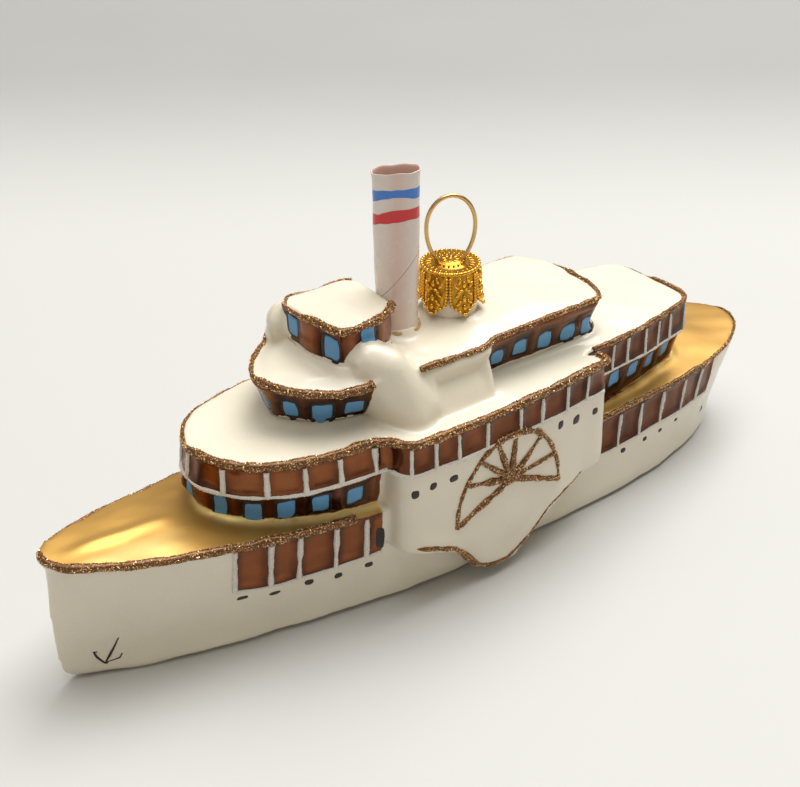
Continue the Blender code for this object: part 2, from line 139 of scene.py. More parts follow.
# Portholes as (x, height, half width, half height)
FORE_PORTS = (
    (43.6, 9.5, 1.05, 0.42),
    (38.6, 8.7, 1.05, 0.46),
    (33.0, 8.8, 0.9, 0.66),
    (28.2, 8.4, 0.85, 0.66),
    (22.9, 8.5, 0.85, 0.6),
)
BOX_PORTS = (
    (17.7, 22.6, 0.7, 0.95),
    (14.6, 23.1, 0.75, 0.75),
    (10.8, 23.1, 1.0, 0.7),
    (-11.7, 23.9, 0.72, 0.9),
    (-15.6, 23.2, 1.0, 0.95),
    (-20.3, 22.8, 0.8, 0.75),
)
AFTER_PORTS = (
    (-31.9, 8.5, 0.75, 0.55),
    (-37.5, 8.6, 0.65, 0.5),
    (-41.5, 8.8, 0.6, 0.45),
    (-46.0, 9.1, 0.55, 0.4),
)

# Windows as (x, y, height, half width, half height); those near the middle of a nose stand singly
SINGLE_WITHIN = 4.6
FORE_WINDOWS = (
    (45.2, -1.4, 24.2, 0.8, 1.45),
    (43.1, 3.6, 23.1, 1.1, 1.8),
    (39.5, 7.1, 22.1, 1.4, 1.95),
    (35.2, 9.6, 22.3, 1.55, 1.6),
    (30.0, 11.2, 22.1, 1.5, 1.6),
    (24.4, 12.2, 21.8, 1.5, 1.55),
)
BRIDGE_WINDOWS = (
    (31.7, -1.0, 35.2, 0.9, 1.7),
    (29.8, 3.2, 34.8, 1.2, 1.8),
    (26.1, 6.3, 34.4, 1.7, 2.0),
    (21.7, 8.3, 34.8, 1.6, 1.7),
)
WHEELHOUSE_WINDOWS = (
    (22.9, 4.4, 43.5, 1.5, 2.0),
    (17.9, 6.3, 45.1, 1.35, 1.4),
    (24.3, -4.4, 43.9, 1.3, 1.75),
)
HOUSE_WINDOWS = (
    (-5.1, 9.0, 34.8, 1.4, 1.7),
    (-9.7, 9.1, 35.1, 1.5, 1.7),
    (-15.0, 8.6, 34.7, 1.6, 1.75),
    (-20.1, 8.4, 34.5, 1.6, 1.75),
    (-24.3, 8.5, 34.5, 1.4, 1.75),
)
AFTER_WINDOWS = (
    (-30.4, 11.2, 22.7, 1.35, 1.75),
    (-35.4, 10.6, 22.6, 1.35, 1.75),
    (-40.4, 9.6, 22.2, 1.3, 1.7),
    (-45.0, 8.7, 22.6, 1.2, 1.7),
)

# Paddle wheel drawn on each box, and the line along its swept foot
WHEEL_X = -0.9
WHEEL_HUB_Z = 18.2
WHEEL_FOOT_Z = 13.7
WHEEL_HALF_WIDTH = 10.8
WHEEL_RISE = 12.9
SPOKES = (-25, 14, 42, 69, 94, 140, 176, 203)  # degrees about the hub, from forward
SPOKE_START = 0.4
FOOT_LINE = (
    (17.4, 12.3, 0.12),
    (16.3, 12.0, 0.42),
    (14.0, 11.2, 0.56),
    (10.1, 9.4, 0.6),
    (7.8, 6.9, 0.62),
    (5.3, 3.9, 0.6),
    (3.0, 2.8, 0.5),
    (-0.9, 2.5, 0.34),
    (-3.4, 3.5, 0.26),
    (-5.6, 5.2, 0.22),
    (-7.8, 7.2, 0.19),
    (-10.0, 9.2, 0.18),
    (-13.4, 10.7, 0.16),
    (-17.8, 12.0, 0.1),
)  # x, height, half breadth of the line


def sides_of(y):
    """The sides on which a window stands."""
    return (1,) if abs(y) < SINGLE_WITHIN else SIDES


def along(table, x):
    """Value at x, a number or an array, of a table of (x, value) rows with straight lines between them."""
    return np.interp(x, *zip(*table))


def sheer(x):
    """Height of the main deck's edge."""
    return along(SHEER, x)


def rail_foot(x):
    """Height of the foot of the painted rail bands."""
    return along(RAIL_FOOT, x)


def curve_end(tip, shoulder, breadth, fullness, roundness, steps=16):
    """Half outline from the shoulder out to the tip, as (x, half-breadth)."""
    points = []
    for i in range(steps + 1):
        u = math.sin(math.pi / 2 * i / steps)
        points.append((shoulder + (tip - shoulder) * u, breadth * (1 - u**fullness) ** roundness))
    return points


def nose_outline(tip, shoulder, breadth, heel, fullness, roundness):
    """Half outline of a house with a rounded front, from its flat heel to its tip."""
    return [(heel, 0.0), (heel, breadth)] + curve_end(tip, shoulder, breadth, fullness, roundness)


def box_outline(aft, fore, breadth, r_aft, r_fore, prow=0.0, steps=6, spans=6):
    """Half outline of a box with rounded corners; breadth is a function of x."""
    points = [(aft, 0.0)]
    for i in range(steps + 1):
        a = math.pi / 2 * i / steps
        x = aft + r_aft * (1 - math.cos(a))
        points.append((x, breadth(x) - r_aft * (1 - math.sin(a))))
    for i in range(1, spans):
        x = aft + r_aft + (fore - r_fore - aft - r_aft) * i / spans
        points.append((x, breadth(x)))
    for i in range(steps + 1):
        a = math.pi / 2 * i / steps
        x = fore - r_fore * (1 - math.sin(a))
        points.append((x, breadth(x) - r_fore * (1 - math.cos(a))))
    return points + [(fore + prow, 0.0)]


def box_breadth(x):
    """Half-breadth of the paddle boxes' outer wall."""
    return BOX_BREADTH - 0.0025 * (x - 6.0) ** 2


def after_breadth(x):
    """Half-breadth of the after roof."""
    return 13.1 - 0.0052 * (x + 22) ** 2


def house_breadth(x):
    """Half-breadth of the deckhouse."""
    return 11.3 + 0.02 * x


AFTER_DECK = curve_end(STERN, DECK_AFT[0], DECK_BREADTH * 0.95, *DECK_AFT[1:])
FORE_DECK = curve_end(BOW, DECK_FORE[0], DECK_BREADTH, *DECK_FORE[1:])
DECK = AFTER_DECK[::-1] + FORE_DECK
PROMENADE = nose_outline(44.6, 20.0, 13.9, 8.0, 2.6, 0.5)
FORE_CABIN = nose_outline(43.9, 20.0, 12.0, 8.0, 1.9, 0.5)
BOXES = box_outline(BOX_AFT, BOX_FORE, box_breadth, 1.5, 3.0)
AFTER_ROOF = box_outline(AFTER_END, -10.0, after_breadth, 2.6, 1.0)
AFTER_CABIN = box_outline(-50.4, -10.0, lambda x: after_breadth(x) - 2.8, 2.6, 1.0)
HOUSE = box_outline(HOUSE_END, 15.0, house_breadth, 3.0, 1.5)
HOUSE_FOOT = box_outline(-28.0, 15.0, lambda x: house_breadth(x) - 2.2 - 0.0385 * x, 3.0, 1.5)
BRIDGE = nose_outline(BRIDGE_TIP, 18.0, 11.7, 9.0, 2.0, 0.6)
BRIDGE_FOOT = nose_outline(30.6, 16.0, 7.9, 9.0, 2.6, 0.6)
WHEELHOUSE = box_outline(11.7, 23.4, lambda x: 7.2, 2.2, 1.9, 0.7)
# Middle line of the buttress on each side, as x, half-breadth, height and radius
BUTTRESS = (
    (18.6, 7.0, 41.2, 3.3),
    (15.9, 9.2, 39.9, 3.2),
    (11.5, 11.8, 33.2, 3.1),
    (13.6, 12.8, 31.6, 2.9),
    (15.8, 8.6, 31.4, 3.1),
)
# The starboard buttress swells further forward beside the wheelhouse: x, y, height and radius
SHOULDER = (
    (21.9, -9.4, 42.0, 3.4),
    (21.0, -9.2, 39.6, 3.4),
    (18.8, -9.0, 41.0, 3.4),
    (21.0, -8.4, 43.0, 2.9),
)
# Slow waves of the blown surface: heading in radians, pitch in radians per millimetre, height
WAVES = ((0.3, 0.55, 0.07), (1.4, 0.38, 0.09), (2.5, 0.8, 0.04), (0.9, 1.3, 0.02))
# Level directions along the picture's left and towards the camera
LEFTWARD = Vector((0.806, -0.592))
NEARWARD = Vector((0.592, 0.806))


class ShellSettings(bpy.types.PropertyGroup):
    """Blown glass shell and its lacquers."""

    grain: bpy.props.FloatProperty(
        name="Grain",
        description="Size of the facets of the shell's mesh",
        default=0.45 * MM,
        min=0.3 * MM,
        max=2 * MM,
        unit="LENGTH",
        precision=5,
    )
    rounding: bpy.props.IntProperty(
        name="Rounding",
        description="Rounds of smoothing that soften the moulded edges",
        default=4,
        min=0,
        max=60,
    )
    pearl: bpy.props.FloatVectorProperty(
        name="Pearl",
        description="Pearl white lacquer",
        subtype="COLOR",
        min=0,
        max=1,
        default=(0.80, 0.745, 0.61),
    )
    gold: bpy.props.FloatVectorProperty(
        name="Gold",
        description="Satin gold deck",
        subtype="COLOR",
        min=0,
        max=1,
        default=(0.60, 0.348, 0.085),
    )
    # These two browns are the ends of the cabin walls' painted shade: lighter away from the windows and in
    # the panels' middles, darker round the windows and at the panels' edges
    brown: bpy.props.FloatVectorProperty(
        name="Brown",
        description="Warm side of the cabin walls",
        subtype="COLOR",
        min=0,
        max=1,
        default=(0.25, 0.080, 0.027),
    )
    brown_shade: bpy.props.FloatVectorProperty(
        name="Umber",
        description="Dark side of the cabin walls",
        subtype="COLOR",
        min=0,
        max=1,
        default=(0.035, 0.012, 0.006),
    )
    pane: bpy.props.FloatVectorProperty(
        name="Window Blue",
        description="Enamel of the windows",
        subtype="COLOR",
        min=0,
        max=1,
        default=(0.13, 0.37, 0.68),
    )
    ink: bpy.props.FloatVectorProperty(
        name="Ink",
        description="Black brushwork",
        subtype="COLOR",
        min=0,
        max=1,
        default=(0.012, 0.009, 0.008),
    )


class GlitterSettings(bpy.types.PropertyGroup):
    """Lines of glitter glue."""

    copper: bpy.props.FloatVectorProperty(
        name="Copper",
        description="Middle tone of the copper glitter",
        subtype="COLOR",
        min=0,
        max=1,
        default=(0.46, 0.20, 0.055),
    )
    frost: bpy.props.FloatVectorProperty(
        name="Frost",
        description="Middle tone of the white glitter",
        subtype="COLOR",
        min=0,
        max=1,
        default=(0.76, 0.73, 0.67),
    )
    flake: bpy.props.FloatProperty(
        name="Flake",
        description="Breadth of one flake",
        default=0.34 * MM,
        min=0.1 * MM,
        max=1 * MM,
        unit="LENGTH",
        precision=5,
    )
    cover: bpy.props.FloatProperty(
        name="Cover", description="Flakes on a square millimetre", default=13.0, min=1, max=40
    )


class TrimSettings(bpy.types.PropertyGroup):
    """Funnel, glue, cap and wire."""

    funnel_top: bpy.props.FloatProperty(
        name="Funnel Top",
        description="Height of the funnel's lip",
        default=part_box("funnel")[1].z,
        unit="LENGTH",
    )
    milk: bpy.props.FloatVectorProperty(
        name="Milk Glass",
        description="Funnel glass",
        subtype="COLOR",
        min=0,
        max=1,
        default=(0.74, 0.70, 0.65),
    )
    band_blue: bpy.props.FloatVectorProperty(
        name="Blue Band",
        description="Upper band of the funnel",
        subtype="COLOR",
        min=0,
        max=1,
        default=(0.03, 0.18, 0.62),
    )
    band_red: bpy.props.FloatVectorProperty(
        name="Red Band",
        description="Lower band of the funnel",
        subtype="COLOR",
        min=0,
        max=1,
        default=(0.60, 0.008, 0.010),
    )
    amber: bpy.props.FloatVectorProperty(
        name="Amber",
        description="Glue round the funnel's foot",
        subtype="COLOR",
        min=0,
        max=1,
        default=(0.60, 0.40, 0.17),
    )
    cap_gold: bpy.props.FloatVectorProperty(
        name="Cap Gold",
        description="Lacquered stamped metal",
        subtype="COLOR",
        min=0,
        max=1,
        default=(0.90, 0.50, 0.06),
    )
    brass: bpy.props.FloatVectorProperty(
        name="Brass",
        description="Wire of the hanger",
        subtype="COLOR",
        min=0,
        max=1,
        default=(0.72, 0.50, 0.22),
    )
    wire: bpy.props.FloatProperty(
        name="Wire",
        description="Thickness of the hanger's wire",
        default=0.7 * MM,
        unit="LENGTH",
        precision=5,
    )


class StageSettings(bpy.types.PropertyGroup):
    """Floor, lights and camera."""

    floor: bpy.props.FloatVectorProperty(
        name="Floor",
        description="Colour of the table",
        subtype="COLOR",
        min=0,
        max=1,
        default=(0.545, 0.547, 0.542),
    )
    # Painted shade: the table's colour far behind the object
    far_floor_shade: bpy.props.FloatVectorProperty(
        name="Far Floor",
        description="Colour far behind the object",
        subtype="COLOR",
        min=0,
        max=1,
        default=(0.335, 0.337, 0.335),
    )
    sky: bpy.props.FloatProperty(
        name="Sky", description="Strength of the even light", default=0.37, min=0, max=4
    )
    key: bpy.props.FloatProperty(
        name="Key Light", description="Power of the large soft light", default=16.5, min=0, unit="POWER"
    )
    focal: bpy.props.FloatProperty(
        name="Focal Length", description="Lens on a sensor 36 mm wide", default=63.18, min=10, max=300
    )


# Shader and node helpers


def add_node(tree, kind, inputs=(), **settings):
    """Add a node. Its settings are properties, and its inputs are values or the sockets that feed them."""
    made = tree.nodes.new(kind)
    row, column = divmod(len(tree.nodes), 12)
    made.location = (200 * column, -300 * row)
    for name, value in settings.items():
        setattr(made, name, value)
    for key, value in dict(inputs).items():
        if isinstance(value, bpy.types.NodeSocket):
            tree.links.new(value, made.inputs[key])
        else:
            made.inputs[key].default_value = value
    return made


def math_node(tree, operation, *values):
    """Output of a maths node over some values or sockets."""
    return add_node(tree, "ShaderNodeMath", dict(enumerate(values)), operation=operation).outputs[0]


def colour(rgb):
    """A socket's colour of any colour."""
    return (*rgb[:3], 1.0)


def mix_colours(tree, factor, first, second):
    """The first colour where factor is 0 and the second where it is 1."""
    return add_node(tree, "ShaderNodeMix", {0: factor, 6: first, 7: second}, data_type="RGBA").outputs[2]


def mix_values(tree, factor, first, second):
    """The first value where factor is 0 and the second where it is 1."""
    return add_node(tree, "ShaderNodeMix", {0: factor, 2: first, 3: second}, data_type="FLOAT").outputs[0]


def smooth_step(tree, value, low, high):
    """0 below low and 1 above high, turning smoothly between."""
    inputs = {"Value": value, "From Min": low, "From Max": high}
    return add_node(tree, "ShaderNodeMapRange", inputs, interpolation_type="SMOOTHSTEP").outputs["Result"]


def ramp(tree, factor, stops):
    """A colour ramp from (position, colour) stops."""
    made = add_node(tree, "ShaderNodeValToRGB", {0: factor})
    elements = made.color_ramp.elements
    while len(elements) < len(stops):
        elements.new(0.5)
    for element, (position, rgb) in zip(elements, stops):
        element.position = position
        element.color = colour(rgb)
    return made.outputs[0]


def attribute(tree, name):
    """A number stored on the mesh."""
    return add_node(tree, "ShaderNodeAttribute", attribute_name=name).outputs["Fac"]


def object_place(tree):
    """Place in the piece's own axes, in metres."""
    return add_node(tree, "ShaderNodeTexCoord").outputs["Object"]


def noise(tree, scale, detail=2.0, roughness=0.5):
    """Noise on Object coordinates; scale is per metre."""
    inputs = {"Vector": object_place(tree), "Scale": scale, "Detail": detail, "Roughness": roughness}
    return add_node(tree, "ShaderNodeTexNoise", inputs).outputs["Fac"]


def group(name, inputs, outputs):
    """A shader node group: inputs are (name, default) rows, and outputs are names.

    A socket with four numbers as its default, or with the name Color, is a colour. The others are values.
    """
    tree = bpy.data.node_groups.new(name, "ShaderNodeTree")
    for socket, default in inputs:
        kind = "NodeSocketColor" if isinstance(default, tuple) else "NodeSocketFloat"
        tree.interface.new_socket(socket, in_out="INPUT", socket_type=kind).default_value = default
    for socket in outputs:
        kind = "NodeSocketColor" if socket == "Color" else "NodeSocketFloat"
        tree.interface.new_socket(socket, in_out="OUTPUT", socket_type=kind)
    return tree, tree.nodes.new("NodeGroupInput").outputs, tree.nodes.new("NodeGroupOutput").inputs


@functools.cache
def brush_edge():
    """Hand painted edge: a mask from a distance inside a painted area, with a frayed border."""
    tree, given, out = group(
        "Brush Edge", [("Depth", 0.0), ("Fray", 0.5), ("Softness", 0.15), ("Scale", 400.0)], ["Mask"]
    )
    wander = math_node(tree, "SUBTRACT", noise(tree, given["Scale"]), 0.5)
    depth = math_node(tree, "ADD", given["Depth"], math_node(tree, "MULTIPLY", wander, given["Fray"]))
    low = math_node(tree, "MULTIPLY", given["Softness"], -1.0)
    tree.links.new(smooth_step(tree, depth, low, given["Softness"]), out["Mask"])
    return tree


@functools.cache
def lacquer_tone():
    """Mottled lacquer: a tone between two colours, cloudy."""
    tree, given, out = group(
        "Lacquer Tone",
        [
            ("Light", (1, 1, 1, 1)),
            ("Dark", (0, 0, 0, 1)),
            ("Shade", 0.5),
            ("Cloud Scale", 120.0),
            ("Cloud", 0.3),
        ],
        ["Color", "Tone"],
    )
    cloud = math_node(tree, "SUBTRACT", noise(tree, given["Cloud Scale"], 3.0, 0.55), 0.5)
    spread = math_node(tree, "MULTIPLY", math_node(tree, "MULTIPLY", cloud, 2.0), given["Cloud"])
    tone = math_node(tree, "ADD", given["Shade"], spread)
    tone = add_node(tree, "ShaderNodeClamp", {"Value": tone}).outputs[0]
    tree.links.new(tone, out["Tone"])
    tree.links.new(mix_colours(tree, tone, given["Dark"], given["Light"]), out["Color"])
    return tree


@functools.cache
def dust_and_sparkle():
    """Fine dust and painted sparkle in the white lacquer: a height, and a mask of the grains."""
    tree, given, out = group("Dust And Sparkle", [("Scale", 3000.0), ("Amount", 0.5)], ["Height", "Grains"])
    cells = add_node(tree, "ShaderNodeTexVoronoi", {"Vector": object_place(tree), "Scale": given["Scale"]})
    chosen = add_node(tree, "ShaderNodeSeparateColor", {0: cells.outputs["Color"]}).outputs[0]
    chance = math_node(tree, "MULTIPLY", math_node(tree, "MULTIPLY", noise(tree, 90.0), given["Amount"]), 0.6)
    picked = math_node(tree, "LESS_THAN", chosen, chance)
    core = math_node(tree, "LESS_THAN", cells.outputs["Distance"], 0.4)
    grains = math_node(tree, "MULTIPLY", picked, core)
    height = math_node(tree, "ADD", math_node(tree, "MULTIPLY", grains, 0.08), noise(tree, 260.0))
    tree.links.new(grains, out["Grains"])
    tree.links.new(height, out["Height"])
    return tree


def place_group(tree, made, **inputs):
    """Put a node group into a tree; underscores in the keywords stand for spaces."""
    named = {key.replace("_", " ").title(): value for key, value in inputs.items()}
    return add_node(tree, "ShaderNodeGroup", named, node_tree=made).outputs


def brushed(tree, depth, fray, softness, scale):
    """Mask of a hand painted area, from the depth inside it in millimetres."""
    return place_group(tree, brush_edge(), depth=depth, fray=fray, softness=softness, scale=scale)["Mask"]


def mottled(tree, light, dark, shade, scale, cloud):
    """Outputs of a mottled lacquer between two colours."""
    tones = {"light": colour(light), "dark": colour(dark)}
    return place_group(tree, lacquer_tone(), **tones, shade=shade, cloud_scale=scale, cloud=cloud)


def start_material(name, **values):
    """A material with one Principled BSDF whose constant sockets are set straight on it."""
    item = bpy.data.materials.new(name)
    item.use_nodes = True
    shader = item.node_tree.nodes["Principled BSDF"]
    for key, value in values.items():
        shader.inputs[key.replace("_", " ").title().replace("Ior", "IOR")].default_value = value
    return item, item.node_tree, shader


def feed(tree, shader, **sockets):
    """Link sockets to the inputs that the keywords name."""
    for key, socket in sockets.items():
        tree.links.new(socket, shader.inputs[key.replace("_", " ").title()])


def bump(tree, height, distance, strength=1.0):
    """A normal bent by a height; distance is in millimetres."""
    inputs = {"Height": height, "Distance": distance * MM, "Strength": strength}
    return add_node(tree, "ShaderNodeBump", inputs).outputs["Normal"]


# Materials


@functools.cache
def lacquered_glass():
    """Silvered glass painted pearl, gold and brown, with a clear glossy coat."""
    look = bpy.context.scene.ornament_shell
    item, tree, shader = start_material(
        "painted_glass", coat_roughness=0.06, coat_ior=1.5, ior=1.5, specular_ior_level=0.5
    )
    dust_sparkle = place_group(tree, dust_and_sparkle(), scale=2600.0, amount=0.5)
    gold_mask = brushed(tree, attribute(tree, "gold"), 0.5, 0.18, 350.0)
    brown_mask = brushed(tree, attribute(tree, "brown"), 0.5, 0.1, 500.0)
    pearl = mottled(tree, look.pearl, [c * 0.86 for c in look.pearl], 0.7, 70.0, 0.35)["Color"]
    # A few grains are lightened towards white: flecks of dust and painted sparkle
    pearl = mix_colours(tree, math_node(tree, "MULTIPLY", dust_sparkle["Grains"], 0.14), pearl, (0.95, 0.93, 0.9, 1))
    # The gold lightens and darkens by its painted light, and its painted highlights turn it pale yellow
    gold = mottled(tree, look.gold, (0.36, 0.205, 0.05), attribute(tree, "painted_light"), 60.0, 0.12)["Color"]
    gold = mix_colours(tree, attribute(tree, "painted_highlight"), gold, (1.0, 0.80, 0.34, 1))
    # The brown darkens by the painted shade stored on the mesh
    brown = mottled(tree, look.brown, look.brown_shade, attribute(tree, "shade"), 230.0, 0.6)["Color"]

    base = mix_colours(tree, brown_mask, mix_colours(tree, gold_mask, pearl, gold), brown)
    # each as the value on pearl, on gold and on brown
    metal, rough, coat = (
        mix_values(tree, brown_mask, mix_values(tree, gold_mask, on_pearl, on_gold), on_brown)
        for on_pearl, on_gold, on_brown in ((0.0, 0.68, 0.85), (0.36, 0.44, 0.22), (0.4, 0.0, 0.05))
    )
    feed(tree, shader, base_color=base, metallic=metal, roughness=rough, coat_weight=coat)
    feed(tree, shader, normal=bump(tree, dust_sparkle["Height"], 0.12, 0.5))
    return item


@functools.cache
def enamel(name, rgb, edge, roughness=0.4, coat=0.15):
    """Opaque brushed enamel, cloudy, over a darker tone."""
    item, tree, shader = start_material(name, coat_weight=coat, coat_roughness=0.1, specular_ior_level=0.3)
    tone = mottled(tree, rgb, edge, 0.75, 500.0, 0.5)
    rough = mix_values(tree, tone["Tone"], roughness + 0.15, roughness)
    feed(tree, shader, base_color=tone["Color"], roughness=rough)
    feed(tree, shader, normal=bump(tree, noise(tree, 900.0), 0.05, 0.5))
    return item


def ink_enamel():
    """Black of the brushwork."""
    return enamel("ink_enamel", tuple(bpy.context.scene.ornament_shell.ink), (0.05, 0.03, 0.02), 0.25)


@functools.cache
def glitter(name, stops, metallic):
    """Glitter glue: each flake takes its colour from its own value, which gives its tone at random and, at
    the top, a painted glint.
    """
    item, tree, shader = start_material(name, metallic=metallic, specular_ior_level=0.7)
    tone_and_glint = attribute(tree, "tone_and_glint")
    base = ramp(tree, tone_and_glint, stops)
    rough = mix_values(tree, noise(tree, 2500.0, 1.0), 0.12, 0.5)
    feed(tree, shader, base_color=base, roughness=rough)
    return item


def copper_glitter():
    """Copper flakes in tones at random from dark to bright, the brightest few painted as glints."""
    copper = Vector(bpy.context.scene.ornament_glitter.copper)
    # Tones of the flakes at random; the top stops are painted glints
    stops = (
        (0.0, copper * 0.3),
        (0.14, copper * 0.35),
        (0.34, copper * 1.5),
        (0.6, (0.98, 0.50, 0.17)),
        (0.8, (1.0, 0.72, 0.30)),
        (1.0, (1.0, 0.92, 0.66)),
    )
    return glitter("copper_glitter", tuple((p, tuple(c)) for p, c in stops), 0.45)


def white_glitter():
    """Frosty white flakes in tones at random, the brightest few painted as glints."""
    frost = Vector(bpy.context.scene.ornament_glitter.frost)
    # The top stops are painted glints
    stops = (
        (0.0, frost * 0.95),
        (0.3, frost * 0.8),
        (0.6, frost * 1.08),
        (0.85, frost * 1.2),
        (1.0, (0.99, 0.99, 0.97)),
    )
    return glitter("frost_glitter", tuple((p, tuple(c)) for p, c in stops), 0.0)


@functools.cache
def funnel_glass():
    """Milk glass with a pink cast, a blue and a red band and a drawn seam, with painted shade and sheen:
    pinker and darker inside and in the middle of the side towards the camera, paler towards its edges.
    """
    look = bpy.context.scene.ornament_trim
    item, tree, shader = start_material("funnel_glass", coat_weight=0.4, coat_roughness=0.04)
    # Painted shade and sheen over the glass's pink cast, from the painted light
    base = mottled(tree, look.milk, (0.66, 0.42, 0.36), attribute(tree, "painted_light"), 90.0, 0.35)["Color"]
    near_seam = math_node(tree, "SUBTRACT", 0.1, math_node(tree, "ABSOLUTE", attribute(tree, "seam")))
    seam = brushed(tree, near_seam, 0.1, 0.05, 300.0)
    base = mix_colours(tree, math_node(tree, "MULTIPLY", seam, 0.8), base, (0.30, 0.24, 0.22, 1))
    for band, rgb in (("blue_band", look.band_blue), ("red_band", look.band_red)):
        base = mix_colours(tree, brushed(tree, attribute(tree, band), 0.9, 0.06, 300.0), base, colour(rgb))
    rough = mix_values(tree, noise(tree, 400.0), 0.18, 0.34)
    feed(tree, shader, base_color=base, roughness=rough, normal=bump(tree, noise(tree, 150.0, 1.0), 0.3, 0.4))
    return item


@functools.cache
def amber_glue():
    """Clear amber glue, cloudy."""
    look = bpy.context.scene.ornament_trim
    item, tree, shader = start_material("amber_glue", coat_weight=1.0, coat_roughness=0.05)
    tone = mottled(tree, look.amber, (0.34, 0.20, 0.09), 0.6, 700.0, 0.8)
    rough = mix_values(tree, tone["Tone"], 0.2, 0.4)
    feed(tree, shader, base_color=tone["Color"], roughness=rough)
    feed(tree, shader, normal=bump(tree, noise(tree, 1200.0), 0.12, 0.7))
    return item


@functools.cache
def stamped_gold():
    """Thin gold lacquered metal, with painted shade in its hollows and painted highlights on its raised
    drops.
    """
    look = bpy.context.scene.ornament_trim
    item, tree, shader = start_material("stamped_gold", metallic=1.0)
    # The gold darkens to near black by its painted light: painted shade in the hollows, painted highlights on
    # the drops
    tone = mottled(tree, look.cap_gold, (0.10, 0.035, 0.004), attribute(tree, "painted_light"), 500.0, 0.35)
    rough = mix_values(tree, tone["Tone"], 0.35, 0.16)
    feed(tree, shader, base_color=tone["Color"], roughness=rough)
    feed(tree, shader, normal=bump(tree, noise(tree, 1800.0), 0.06, 0.5))
    return item


@functools.cache
def brass_wire():
    """Drawn brass with fine scratches."""
    look = bpy.context.scene.ornament_trim
    item, tree, shader = start_material("brass_wire", metallic=1.0)
    tone = mottled(tree, look.brass, (0.40, 0.25, 0.09), 0.75, 260.0, 0.5)
    rough = mix_values(tree, noise(tree, 1500.0, 3.0), 0.14, 0.34)
    feed(tree, shader, base_color=tone["Color"], roughness=rough)
    feed(tree, shader, normal=bump(tree, noise(tree, 2500.0), 0.02, 0.4))
    return item


# Geometry helpers


def piece(name, mesh, body, slot, *materials):
    """Link a finished mesh in metres as a piece of the ornament that rides on a body."""
    item = bpy.data.objects.new(name, mesh)
    bpy.context.scene.collection.objects.link(item)
    mesh.materials.clear()
    for material in materials:
        mesh.materials.append(material)
    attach(item, body)
    return item


def to_mesh(name, bm):
    """A mesh of a bmesh, which is freed."""
    mesh = bpy.data.meshes.new(name)
    bm.to_mesh(mesh)
    bm.free()
    return mesh


def in_metres(mesh):
    """Bring a mesh from millimetres to metres and smooth its shading."""
    mesh.transform(Matrix.Scale(MM, 4))
    mesh.shade_smooth()
    return mesh


def in_millimetres(mesh):
    """A bmesh in millimetres of a mesh in metres."""
    bm = bmesh.new()
    bm.from_mesh(mesh)
    bmesh.ops.scale(bm, vec=(1 / MM,) * 3, verts=bm.verts)
    return bm


def spin_round(bm, steps):
    """Turn a bmesh full circle about the upright axis, weld its seam and set its normals."""
    profile = bm.verts[:] + bm.edges[:]
    bmesh.ops.spin(bm, geom=profile, axis=UP, cent=(0, 0, 0), angle=2 * math.pi, steps=steps, use_merge=True)
    bmesh.ops.remove_doubles(bm, verts=bm.verts, dist=0.0005)
    bmesh.ops.recalc_face_normals(bm, faces=bm.faces)


def baked(mesh, *modifiers):
    """The mesh after some modifiers, each a (kind, settings) pair."""
    item = bpy.data.objects.new("workpiece", mesh)
    bpy.context.scene.collection.objects.link(item)
    for kind, settings in modifiers:
        made = item.modifiers.new(kind.title(), kind)
        for key, value in settings.items():
            setattr(made, key, value)
    graph = bpy.context.evaluated_depsgraph_get()
    final = item.evaluated_get(graph)
    done = bpy.data.meshes.new_from_object(final, preserve_all_data_layers=True, depsgraph=graph)
    bpy.data.objects.remove(item)
    bpy.data.meshes.remove(mesh)
    return done


def places(mesh):
    """Every vertex's place as rows of x, y and z."""
    co = np.empty(len(mesh.vertices) * 3, np.float32)
    mesh.vertices.foreach_get("co", co)
    return co.reshape(-1, 3).astype(float)


def set_places(mesh, co):
    """Move every vertex to its row of co."""
    mesh.vertices.foreach_set("co", co.astype(np.float32).ravel())
    mesh.update()


def normals(mesh):
    """Every vertex's normal as rows of x, y and z."""
    out = np.empty(len(mesh.vertices) * 3, np.float32)
    mesh.vertex_normals.foreach_get("vector", out)
    return out.reshape(-1, 3).astype(float)


def set_attribute(mesh, name, values):
    """Store a number at every vertex."""
    layer = mesh.attributes.get(name) or mesh.attributes.new(name, "FLOAT", "POINT")
    layer.data.foreach_set("value", np.asarray(values, np.float32))


def ease(low, high, value):
    """0 below low and 1 above high, turning smoothly between."""
    t = np.clip((value - low) / (high - low), 0, 1)
    return t * t * (3 - 2 * t)


def bell(away, breadth):
    """1 at the middle, dying away smoothly on both sides."""
    return np.exp(-((away / breadth) ** 2))


def depth_inside(outline, x, y):
    """How far points lie inside a half outline mirrored about y = 0, negative outside."""
    y = np.abs(y)
    loop = list(outline) + [(px, -py) for px, py in outline[::-1] if py > 0.001]
    near = np.full(len(x), 1e9)
    within = np.zeros(len(x), bool)
    for (ax, ay), (bx, by) in zip(loop, loop[1:] + loop[:1]):
        ex, ey = bx - ax, by - ay
        length = ex * ex + ey * ey
        if length < 1e-9:
            continue
        t = np.clip(((x - ax) * ex + (y - ay) * ey) / length, 0, 1)
        near = np.minimum(near, np.hypot(x - ax - t * ex, y - ay - t * ey))
        if abs(ey) > 1e-9:
            within ^= ((ay > y) != (by > y)) & (x < ax + (y - ay) * ex / ey)
    return np.where(within, near, -near)


